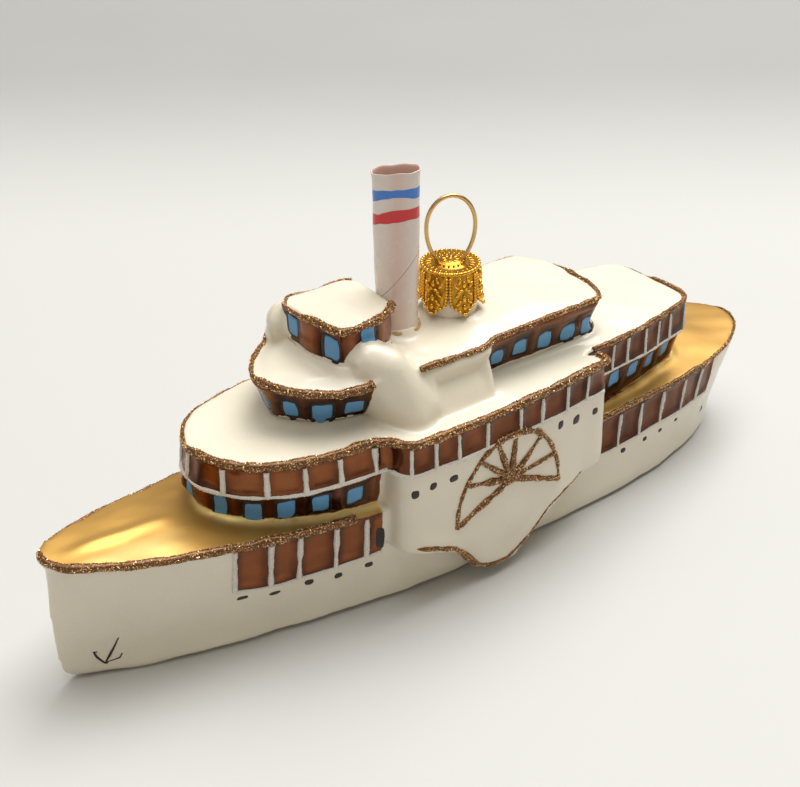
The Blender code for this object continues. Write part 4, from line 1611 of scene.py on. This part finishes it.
def wall_route(points, side, seed, sink=0.15):
    """A bead on a box's outer wall: points are x, height and radius."""
    line = resample(points, 0.45)
    out = Vector((0, side, 0))
    route = []
    for (x, z, radius), wander in zip(line, uneven(len(line), seed, 0.16)):
        spot = on_wall(x, side * 17.0, z, out, 8.0) - out * (radius * sink)
        route.append((*spot, radius * wander))
    return route


def from_hub(reach, turn, radius):
    """A point of the paddle wheel as x, height and radius of its bead."""
    return (WHEEL_X + reach * math.cos(turn), WHEEL_HUB_Z + reach * math.sin(turn), radius)


def paddle_wheels():
    """Half a paddle wheel drawn in copper glitter on each box."""
    rim = []
    for degrees in range(SPOKES[0], SPOKES[-1] + 1, 4):
        turn = math.radians(degrees)
        rim.append(from_hub(rim_reach(turn), turn, 0.42 + 0.16 * math.sin(turn) ** 2))
    lines = [rim]
    for degrees in SPOKES:
        turn = math.radians(degrees)
        length = rim_reach(turn) - SPOKE_START
        shares = (0.0, 0.35, 0.7, 1.0)
        lines.append([from_hub(SPOKE_START + length * t, turn, 0.62 - 0.2 * t) for t in shares])
    hub = [
        (WHEEL_X + 1.1, WHEEL_HUB_Z - 0.5, 0.7),
        (WHEEL_X, WHEEL_HUB_Z, 1.0),
        (WHEEL_X - 1.0, WHEEL_HUB_Z + 0.4, 0.7),
    ]
    for side, word in SIDE_WORDS:
        routes = [wall_route(line, side, seed) for seed, line in enumerate(lines, 20)]
        routes.append(wall_route(hub, side, 40))
        glitter_piece(f"copper_wheel_{word}", routes, copper_glitter(), f"bead_wheel_{word}")


def box_feet():
    """The line along each box's swept foot, thick glitter forward and a thin stroke aft."""
    for side, word in SIDE_WORDS:
        route = wall_route(FOOT_LINE, side, 50, 0.3)
        glitter_piece(f"copper_foot_{word}", [route], copper_glitter(), f"bead_foot_{word}")


def laid_route(outline, line, radius, seed):
    """Points of a bead laid on a wall from outside along line, which is rows of x, y and height."""
    route = []
    for (x, y, z), wander in zip(line, uneven(len(line), seed, 0.18)):
        out = wall_normal(outline, x, y)
        spot = on_wall(x, y, z, out) - out * (radius * 0.15)
        route.append((*spot, radius * wander))
    return np.array(route)


def bar_rows():
    """The white bars of one side as wall, x, half-breadth, foot, head and radius."""
    rows = []
    for x in FORE_RAIL_BARS + AFTER_RAIL_BARS:
        rows.append((DECK, x, along(DECK, x), rail_foot(x), sheer(x), 0.42 if x > 0 else 0.3))
    for x in BOX_BARS:
        rows.append((BOXES, x, box_breadth(x), BAND_Z - 0.3, PROMENADE_Z, 0.31))
    for x in AFTER_BARS:
        rows.append((AFTER_ROOF, x, along(AFTER_ROOF, x), BAND_Z - 0.4, AFTER_ROOF_Z, 0.27))
    return rows + [(PROMENADE, x, y, BAND_Z, PROMENADE_Z, 0.42) for x, y in NOSE_BARS]


def line_rows():
    """The white lines of one side as wall, points of x, half-breadth and height, radius and seed."""
    fore = [(x, along(DECK, x), rail_foot(x)) for x in np.linspace(*FORE_RAIL, 14)]
    aft = [(x, along(DECK, x), rail_foot(x)) for x in np.linspace(*AFTER_RAIL, 14)]
    corner = [(x, y, BAND_Z - 0.2) for x, y in BOXES if x > BOX_FORE - 3.2 and y > 14.4]
    box = [(x, box_breadth(x), BAND_Z - 0.2) for x in np.linspace(BOX_END + 1.2, BOX_FORE - 3.0, 14)]
    roof = [(x, along(AFTER_ROOF, x), BAND_Z - 0.3) for x in np.linspace(-47.5, BOX_END - 0.2, 12)]
    return (
        (DECK, fore, 0.27, 1),
        (DECK, aft, 0.2, 2),
        (BOXES, corner, 0.32, 9),
        (BOXES, box, 0.32, 3),
        (AFTER_ROOF, roof, 0.24, 4),
    )


def white_bars():
    """White glitter bars and lines that part the painted rail bands into panels."""
    bars = []
    lines = []
    seed = 200
    for side in SIDES:
        for wall, x, y, low, high, radius in bar_rows():
            seed += 1
            if y > 0 or side > 0:
                heights = np.linspace(low, high - 0.8, max(int((high - 0.8 - low) / 0.45), 3))
                bars.append(laid_route(wall, [(x, side * y, z) for z in heights], radius, seed))
        for wall, points, radius, step in line_rows():
            line = resample([(x, side * y, z) for x, y, z in points], 0.5)
            lines.append(relax(laid_route(wall, line, radius, seed + step), 1))
        seed += 2
    nose = [row[:3] for row in round_edge(clipped(PROMENADE, 20.3, 44.7), BAND_Z + 0.1)]
    lines.append(relax(laid_route(PROMENADE, resample(nose, 0.5), 0.36, 290), 1))
    glitter_piece("white_bars", bars, white_glitter(), fine=0.7)
    glitter_piece("white_lines", lines, white_glitter(), fine=0.7)


# Funnel, glue, cap and hanger


def spun(profile, steps):
    """A closed round piece about the upright axis, from its closed (radius, height) profile."""
    bm = bmesh.new()
    points = [bm.verts.new((r, 0, z)) for r, z in profile]
    for pair in zip(points, points[1:] + points[:1]):
        bm.edges.new(pair)
    spin_round(bm, steps)
    return bm


# Level directions across the funnel's flattened mouth: along it and through it
MOUTH_ALONG = -LEFTWARD
MOUTH_THROUGH = NEARWARD


def funnel_paint(mesh):
    """Mark the funnel's two painted bands, its slanting seam and its painted light."""
    co = places(mesh) / MM
    offset = co[:, :2] - (FUNNEL_X, 0)
    across = offset @ np.array(MOUTH_ALONG) / 3.55
    near = offset @ np.array(MOUTH_THROUGH)
    within = np.array([datum.value for datum in mesh.attributes["inside"].data])
    blue = 63.6 + 0.31 * across - 0.6 * across**2
    red = 60.0 + 0.58 * across - 0.45 * across**2
    seam = 49.6 + 4.2 * across
    # Painted light: darker and pinker in the middle of the side towards the camera and inside the tube, paler
    # towards the sides
    middle = np.exp(-(((across - 0.05) / 0.4) ** 2)) * (near > 0)
    set_attribute(mesh, "blue_band", 0.68 + 0.28 * across**2 - np.abs(co[:, 2] - blue) - 9 * within)
    set_attribute(mesh, "red_band", 0.88 - np.abs(co[:, 2] - red) - 9 * within)
    set_attribute(mesh, "seam", np.where((near > 0) & (within < 0.5), co[:, 2] - seam, 9))
    set_attribute(mesh, "painted_light", 0.85 - 0.45 * middle - 0.6 * within)


def funnel():
    """Drawn glass tube pinched flat towards its mouth, with two painted bands and a slanting seam."""
    look = bpy.context.scene.ornament_trim
    top = look.funnel_top / MM
    foot = FUNNEL_SEAT_Z + 0.3
    wall = 0.28
    outer = []
    for z in np.linspace(foot, top - 2.4, 40):
        outer.append((3.25 + 0.3 * ease(foot, 58.0, z), float(z)))
    outer += [(3.57, top - 1.6), (3.62, top - 0.9), (3.7, top - 0.35), (3.74, top - 0.1)]
    lip = [(3.68, top), (3.56, top - 0.02)]
    inner = [(r - wall, z) for r, z in outer if z < top - 0.2]
    bm = spun(outer + lip + inner[::-1], 72)
    inside = bm.verts.layers.float.new("inside")
    for vert in bm.verts:
        limit = np.interp(vert.co.z, [p[1] for p in outer], [p[0] for p in outer])
        vert[inside] = float(math.hypot(vert.co.x, vert.co.y) < limit - wall / 2)
        flat = vert.co.xy
        along = flat.dot(MOUTH_ALONG)
        through = flat.dot(MOUTH_THROUGH)
        turn = math.atan2(through, along)
        high = float(ease(top - 3, top, vert.co.z))
        pinch = 1 - 0.36 * float(ease(45.0, 61.0, vert.co.z)) - 0.04 * high
        along *= 1 + 0.008 * math.sin(vert.co.z * 0.9)
        spot = MOUTH_ALONG * along + MOUTH_THROUGH * (through * pinch)
        vert.co.x, vert.co.y = spot
        dip = 0.35 - 0.25 * along / 3.8 + 0.1 * math.sin(3 * turn) + 0.06 * math.sin(7 * turn + 1)
        vert.co.z -= high * max(dip, 0)
    bmesh.ops.translate(bm, verts=bm.verts, vec=(FUNNEL_X, 0, 0))
    mesh = in_metres(to_mesh("funnel_tube", bm))
    funnel_paint(mesh)
    item = piece("funnel_tube", mesh, "ornament", "funnel_glass", funnel_glass())
    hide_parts("funnel")


def glue_ring():
    """Amber glue squeezed out round the funnel's foot."""
    bm = bmesh.new()
    centre, radius = 3.35, 0.34
    ring = bmesh.ops.create_circle(bm, segments=10, radius=radius)["verts"]
    turned_up = Matrix.Rotation(math.pi / 2, 3, "X")
    bmesh.ops.rotate(bm, verts=ring, matrix=turned_up, cent=(0, 0, 0))
    bmesh.ops.translate(bm, verts=ring, vec=(centre, 0, FUNNEL_SEAT_Z + 0.35))
    spin_round(bm, 80)
    for vert in bm.verts:
        turn = math.atan2(vert.co.y, vert.co.x)
        push = 0.12 * math.sin(3 * turn + 1) + 0.08 * math.sin(7 * turn) + 0.05 * math.sin(13 * turn + 2)
        flat = Vector((vert.co.x, vert.co.y, 0)).normalized()
        drop = (FUNNEL_SEAT_Z + 0.35 - vert.co.z) / radius
        vert.co += flat * (push * 0.6 + 0.25 * max(drop, 0))
        vert.co.z += push * 0.5
    bmesh.ops.translate(bm, verts=bm.verts, vec=(FUNNEL_X, 0, 0))
    item = piece("glue_ring", in_metres(to_mesh("glue_ring", bm)), "ornament", "amber_glue", amber_glue())
    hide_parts("funnel_glue")


CAP_RADIUS = 4.7
CAP_TOP = NECK_TOP + 0.65
CAP_FORK = 45.2
CAP_TIPS = 41.4
PETALS = 6
PETAL_TURN = 0.85  # a slit faces the picture
# Drops of the leaf beside a petal's middle, as share of the sector, height and lean
LEAF_DROPS = ((0.4, 45.0, 0.8), (0.36, 43.6, 0.8), (0.5, 46.4, -0.7), (0.24, 45.6, 1.1), (0.3, 47.2, 0.3))
# Drops on the cap's top, each ring as its count, radius, height and half axes
CAP_RINGS = (
    (36, CAP_RADIUS - 0.14, CAP_TOP - 0.1, (0.31, 0.31, 0.29)),
    (16, 2.05, CAP_TOP + 0.2, (0.2, 0.2, 0.2)),
    (8, 1.05, CAP_TOP + 0.5, (0.42, 0.22, 0.16)),
    (26, 3.5, CAP_TOP - 0.02, (0.5, 0.13, 0.12)),
)


def knob(bm, painted_light, place, size, value=0.85, turn=None):
    """A small raised drop of the stamping: an ellipsoid with half axes size at a place, value being its
    painted light.
    """
    spin = turn or Matrix.Identity(4)
    matrix = Matrix.Translation(place) @ spin @ Matrix.Diagonal((*size, 1))
    for vert in bmesh.ops.create_icosphere(bm, subdivisions=2, radius=1.0, matrix=matrix)["verts"]:
        vert[painted_light] = value


def petal_half(z):
    """Half angle of a petal at a height, as a share of its sector."""
    if z > CAP_FORK:
        return 0.975
    share = (CAP_FORK - z) / (CAP_FORK - CAP_TIPS)
    return max(0.975 - 0.1 * share - 0.875 * max(share - 0.5, 0) / 0.5, 0.0)


def petal_radius(z, across):
    """Distance of a petal from the neck's axis at a height, across being minus one to one over its sector."""
    drop = (CAP_TOP - z) / (CAP_TOP - CAP_TIPS)
    return CAP_RADIUS - 0.06 + 0.55 * drop**2 + 0.15 * (1 - across**2) * drop


def on_petal(middle, across, z, lift=0.0):
    """A place on the petal whose middle lies in that direction, lifted off it."""
    turn = middle + across * math.pi / PETALS
    reach = petal_radius(z, across) + lift
    return Vector((reach * math.cos(turn), reach * math.sin(turn), z))


def cap_petals(bm, painted_light):
    """Petals with beaded edges and a raised leaf on each."""
    for index in range(PETALS):
        middle = PETAL_TURN + math.pi / PETALS * (2 * index + 1)
        made = bmesh.ops.create_grid(bm, x_segments=12, y_segments=22, size=1.0)["verts"]
        for vert in made:
            u, v = vert.co.x, vert.co.y
            z = CAP_TIPS + (CAP_TOP - 0.45 - CAP_TIPS) * (v + 1) / 2
            across = u * max(petal_half(z), 0.03)
            ripple = 0.08 * math.cos(across * 11) * math.cos((z - CAP_TIPS) * 2.4)
            vert.co = on_petal(middle, across, z, ripple)
            # Crests of the ripple get a painted highlight, the rest of the sheet painted shade
            vert[painted_light] = 0.34 + 5.0 * max(ripple, 0)
        for z in np.linspace(CAP_TIPS + 0.3, CAP_TOP - 0.9, 13):
            share = petal_half(z) - 0.09
            for end in SIDES:
                if share > 0.02:
                    knob(bm, painted_light, on_petal(middle, end * share, z, 0.1), (0.31, 0.31, 0.27), 0.95)
        knob(bm, painted_light, on_petal(middle, 0, CAP_TIPS + 0.1, 0.04), (0.2, 0.2, 0.26))
        outward = Matrix.Rotation(middle, 4, "Z")
        for z, tall in ((42.8, 0.5), (44.2, 0.62), (46.6, 0.6)):
            knob(bm, painted_light, on_petal(middle, 0, z, 0.05), (0.36, 0.32, tall * 1.1), 0.95, outward)
        for across, z, lean in LEAF_DROPS:
            for end in SIDES:
                outward = Matrix.Rotation(middle + end * across * math.pi / PETALS, 4, "Z")
                tilt = outward @ Matrix.Rotation(end * lean, 4, "X")
                knob(bm, painted_light, on_petal(middle, end * across, z, 0.05), (0.34, 0.28, 0.66), 0.95, tilt)


def cap_top(bm, painted_light):
    """The cap's round top, one sheet from its middle to its rim."""
    profile = (
        (0.0, CAP_TOP + 0.55),
        (0.9, CAP_TOP + 0.5),
        (1.6, CAP_TOP + 0.42),
        (2.0, CAP_TOP + 0.15),
        (2.3, CAP_TOP - 0.02),
        (3.2, CAP_TOP - 0.06),
        (4.2, CAP_TOP),
        (4.7, CAP_TOP - 0.02),
        (CAP_RADIUS - 0.02, CAP_TOP - 0.25),
        (CAP_RADIUS, CAP_TOP - 0.6),
    )
    points = [bm.verts.new((r, 0, z)) for r, z in profile]
    for pair in zip(points, points[1:]):
        bm.edges.new(pair)
    spin_round(bm, 64)
    if sum(f.normal.z for f in bm.faces) < 0:
        bmesh.ops.reverse_faces(bm, faces=bm.faces)
    for vert in bm.verts:
        vert[painted_light] = 0.6


def cap_drops(bm, painted_light):
    """Rings of small drops on the cap's top, and one in its middle."""
    for count, reach, z, size in CAP_RINGS:
        for index in range(count):
            turn = Matrix.Rotation(2 * math.pi * index / count, 4, "Z")
            knob(bm, painted_light, turn @ Vector((reach, 0, z)), size, 0.85, turn)
    knob(bm, painted_light, Vector((0, 0, CAP_TOP + 0.55)), (0.3, 0.3, 0.2))


def cap():
    """Stamped gold crown cap with beaded petals."""
    joined = bmesh.new()
    for build in (cap_top, cap_drops, cap_petals):
        bm = bmesh.new()
        build(bm, bm.verts.layers.float.new("painted_light"))
        bmesh.ops.translate(bm, verts=bm.verts, vec=(NECK_X, 0, 0))
        mesh = to_mesh("cap_part", bm)
        if build is cap_top:
            mesh = baked(mesh, ("SOLIDIFY", {"thickness": 0.3, "offset": -1.0}))
        joined.from_mesh(mesh)
    mesh = in_metres(to_mesh("crown_cap", joined))
    item = piece("crown_cap", mesh, "cap", "stamped_gold_metal", stamped_gold())
    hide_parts("cap")


# The wire's loop: half width, height above and below its widest place, and turn about the upright
RING_REACH = 3.95
RING_RISE = 5.1
RING_FALL = 6.6
RING_Z = 54.7
RING_TURN = -0.42
LEG_OUT = 2.1
LEG_FOOT = 30.0


def hanger():
    """Brass wire bent to a ring, its legs running down through the cap."""
    radius = bpy.context.scene.ornament_trim.wire / MM / 2
    join = math.asin(LEG_OUT / RING_REACH)
    loop = []
    for turn in np.linspace(join, 2 * math.pi - join, 80):
        tall = RING_FALL if math.cos(turn) > 0 else RING_RISE
        loop.append((RING_REACH * math.sin(turn), RING_Z - tall * math.cos(turn)))
    shoulder = loop[0][1] - 0.6
    legs = [(LEG_OUT, z) for z in (LEG_FOOT, 36.0, 42.0, shoulder)]
    line = legs + loop + [(-reach, z) for reach, z in legs[::-1]]
    across = Vector((math.cos(RING_TURN), math.sin(RING_TURN)))
    line = relax(resample([(NECK_X + across.x * reach, across.y * reach, z) for reach, z in line], 0.3), 5)
    mesh = in_metres(tubes([[(*p, radius) for p in line]], 16))
    item = piece("wire_hanger", mesh, "hanger", "brass_wire", brass_wire())
    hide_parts("hanger")


# Stage


# Lamps as name, place in metres and share of the key's power
LAMPS = (
    ("key_light", (-0.62, -0.22, 1.15), 1.0),
    ("side_light", (-0.1, -0.5, 1.2), 0.19),
    ("top_light", (0.1, 0.05, 1.3), 0.46),
)
LAMP_SIZE = 0.95
LAMP_TINT = (1.0, 1.0, 0.98)


def floor_material(look):
    """Pale cloudy table top, with painted shade far behind the ornament, away from the camera."""
    item, tree, shader = start_material("table", roughness=0.55, specular_ior_level=0.25)
    where = add_node(tree, "ShaderNodeTexCoord").outputs["Object"]
    back = Vector((-0.589, -0.808, 0))
    away = add_node(tree, "ShaderNodeVectorMath", {0: where, 1: back}, operation="DOT_PRODUCT")
    # Painted shade on the table away from the camera
    far_shade = smooth_step(tree, away.outputs["Value"], 0.11, 0.26)
    base = mix_colours(tree, far_shade, colour(look.floor), colour(look.far_floor_shade))
    cloud = mix_colours(tree, noise(tree, 14.0, 3.0), base, (0.585, 0.587, 0.58, 1))
    base = mix_colours(tree, 0.12, base, cloud)
    feed(tree, shader, base_color=base)
    return item


def stage():
    """A round table top, soft lights and a pale sky."""
    look = bpy.context.scene.ornament_stage
    bm = bmesh.new()
    bmesh.ops.create_circle(bm, cap_ends=True, segments=96, radius=6.0)
    table = bpy.data.objects.new("table", to_mesh("table", bm))
    bpy.context.scene.collection.objects.link(table)
    table.data.materials.append(floor_material(look))

    world = bpy.data.worlds.new("studio")
    world.use_nodes = True
    sky = world.node_tree.nodes["Background"]
    sky.inputs["Color"].default_value = (1.0, 0.90, 0.75, 1)
    sky.inputs["Strength"].default_value = look.sky
    bpy.context.scene.world = world

    for name, place, share in LAMPS:
        lamp = bpy.data.lights.new(name, "AREA")
        lamp.energy = look.key * share
        lamp.size = LAMP_SIZE
        lamp.color = LAMP_TINT
        item = bpy.data.objects.new(name, lamp)
        bpy.context.scene.collection.objects.link(item)
        item.location = place
        item.rotation_euler = (Vector((0, 0, 0.02)) - Vector(place)).to_track_quat("-Z", "Y").to_euler()


# The photograph's view: the camera's place in millimetres and the picture's right and down directions
CAMERA_PLACE = Vector((122.03, 157.54, 144.74))
PICTURE_RIGHT = Vector((-0.8058, 0.5922, -0.0060))
PICTURE_DOWN = Vector((0.3086, 0.4112, -0.8577))


def camera():
    """The camera where the photograph's stood."""
    look = bpy.context.scene.ornament_stage
    lens = bpy.data.cameras.new("camera")
    lens.lens = look.focal
    lens.sensor_width = 36.0
    lens.sensor_fit = "HORIZONTAL"
    lens.clip_start = 0.01
    lens.clip_end = 30.0
    item = bpy.data.objects.new("camera", lens)
    bpy.context.scene.collection.objects.link(item)
    right = PICTURE_RIGHT.normalized()
    up = -(PICTURE_DOWN - right * PICTURE_DOWN.dot(right)).normalized()
    turn = Matrix((right, up, right.cross(up))).transposed()
    item.matrix_world = Matrix.Translation(CAMERA_PLACE * MM) @ turn.to_4x4()
    bpy.context.scene.camera = item
    bpy.context.scene.view_settings.view_transform = "Standard"


# Operators, panel and registration


class ORNAMENT_OT_stage(bpy.types.Operator):
    """Add the table, the lights and the camera"""

    bl_idname = "ornament.stage"
    bl_label = "Stage"

    def execute(self, context):
        stage()
        camera()
        return {"FINISHED"}


class ORNAMENT_OT_shell(bpy.types.Operator):
    """Build the blown glass shell with its lacquers"""

    bl_idname = "ornament.shell"
    bl_label = "Glass Shell"

    def execute(self, context):
        glass_shell()
        return {"FINISHED"}


class ORNAMENT_OT_brushwork(bpy.types.Operator):
    """Paint the windows, portholes, doors and anchors"""

    bl_idname = "ornament.brushwork"
    bl_label = "Brushwork"

    def execute(self, context):
        windows()
        portholes()
        anchors()
        return {"FINISHED"}


class ORNAMENT_OT_copper(bpy.types.Operator):
    """Lay the copper glitter lines and the paddle wheels"""

    bl_idname = "ornament.copper"
    bl_label = "Copper Glitter"

    def execute(self, context):
        copper_edges()
        paddle_wheels()
        box_feet()
        return {"FINISHED"}


class ORNAMENT_OT_white(bpy.types.Operator):
    """Lay the white glitter bars and lines"""

    bl_idname = "ornament.white"
    bl_label = "White Glitter"

    def execute(self, context):
        white_bars()
        return {"FINISHED"}


class ORNAMENT_OT_funnel(bpy.types.Operator):
    """Build the funnel and the glue at its foot"""

    bl_idname = "ornament.funnel"
    bl_label = "Funnel"

    def execute(self, context):
        funnel()
        glue_ring()
        return {"FINISHED"}


class ORNAMENT_OT_cap(bpy.types.Operator):
    """Build the stamped crown cap"""

    bl_idname = "ornament.cap"
    bl_label = "Crown Cap"

    def execute(self, context):
        cap()
        return {"FINISHED"}


class ORNAMENT_OT_hanger(bpy.types.Operator):
    """Bend the wire hanger"""

    bl_idname = "ornament.hanger"
    bl_label = "Wire Hanger"

    def execute(self, context):
        hanger()
        return {"FINISHED"}


OPERATORS = (
    ORNAMENT_OT_stage,
    ORNAMENT_OT_shell,
    ORNAMENT_OT_brushwork,
    ORNAMENT_OT_copper,
    ORNAMENT_OT_white,
    ORNAMENT_OT_funnel,
    ORNAMENT_OT_cap,
    ORNAMENT_OT_hanger,
)
SETTINGS = (
    ("ornament_shell", ShellSettings),
    ("ornament_glitter", GlitterSettings),
    ("ornament_trim", TrimSettings),
    ("ornament_stage", StageSettings),
)


class ORNAMENT_PT_panel(bpy.types.Panel):
    """Sizes, colours and steps of the ornament"""

    bl_idname = "ORNAMENT_PT_panel"
    bl_label = "Ornament"
    bl_space_type = "VIEW_3D"
    bl_region_type = "UI"
    bl_category = "Ornament"

    def draw(self, context):
        for name, kind in SETTINGS:
            box = self.layout.box()
            box.label(text=kind.__doc__.rstrip("."))
            for key in kind.__annotations__:
                box.prop(getattr(context.scene, name), key)
        for kind in OPERATORS:
            self.layout.operator(kind.bl_idname)


def register():
    """Register the settings, the operators and the panel."""
    for name, kind in SETTINGS:
        bpy.utils.register_class(kind)
        setattr(bpy.types.Scene, name, bpy.props.PointerProperty(type=kind))
    for kind in OPERATORS:
        bpy.utils.register_class(kind)
    bpy.utils.register_class(ORNAMENT_PT_panel)


def unregister():
    """Take back what register did."""
    bpy.utils.unregister_class(ORNAMENT_PT_panel)
    for kind in OPERATORS[::-1]:
        bpy.utils.unregister_class(kind)
    for name, kind in SETTINGS[::-1]:
        delattr(bpy.types.Scene, name)
        bpy.utils.unregister_class(kind)


def main():
    """Register the add-on and run every step in its order."""
    register()
    for kind in OPERATORS:
        area, name = kind.bl_idname.split(".")
        getattr(getattr(bpy.ops, area), name)()


if __name__ == "__main__":
    main()
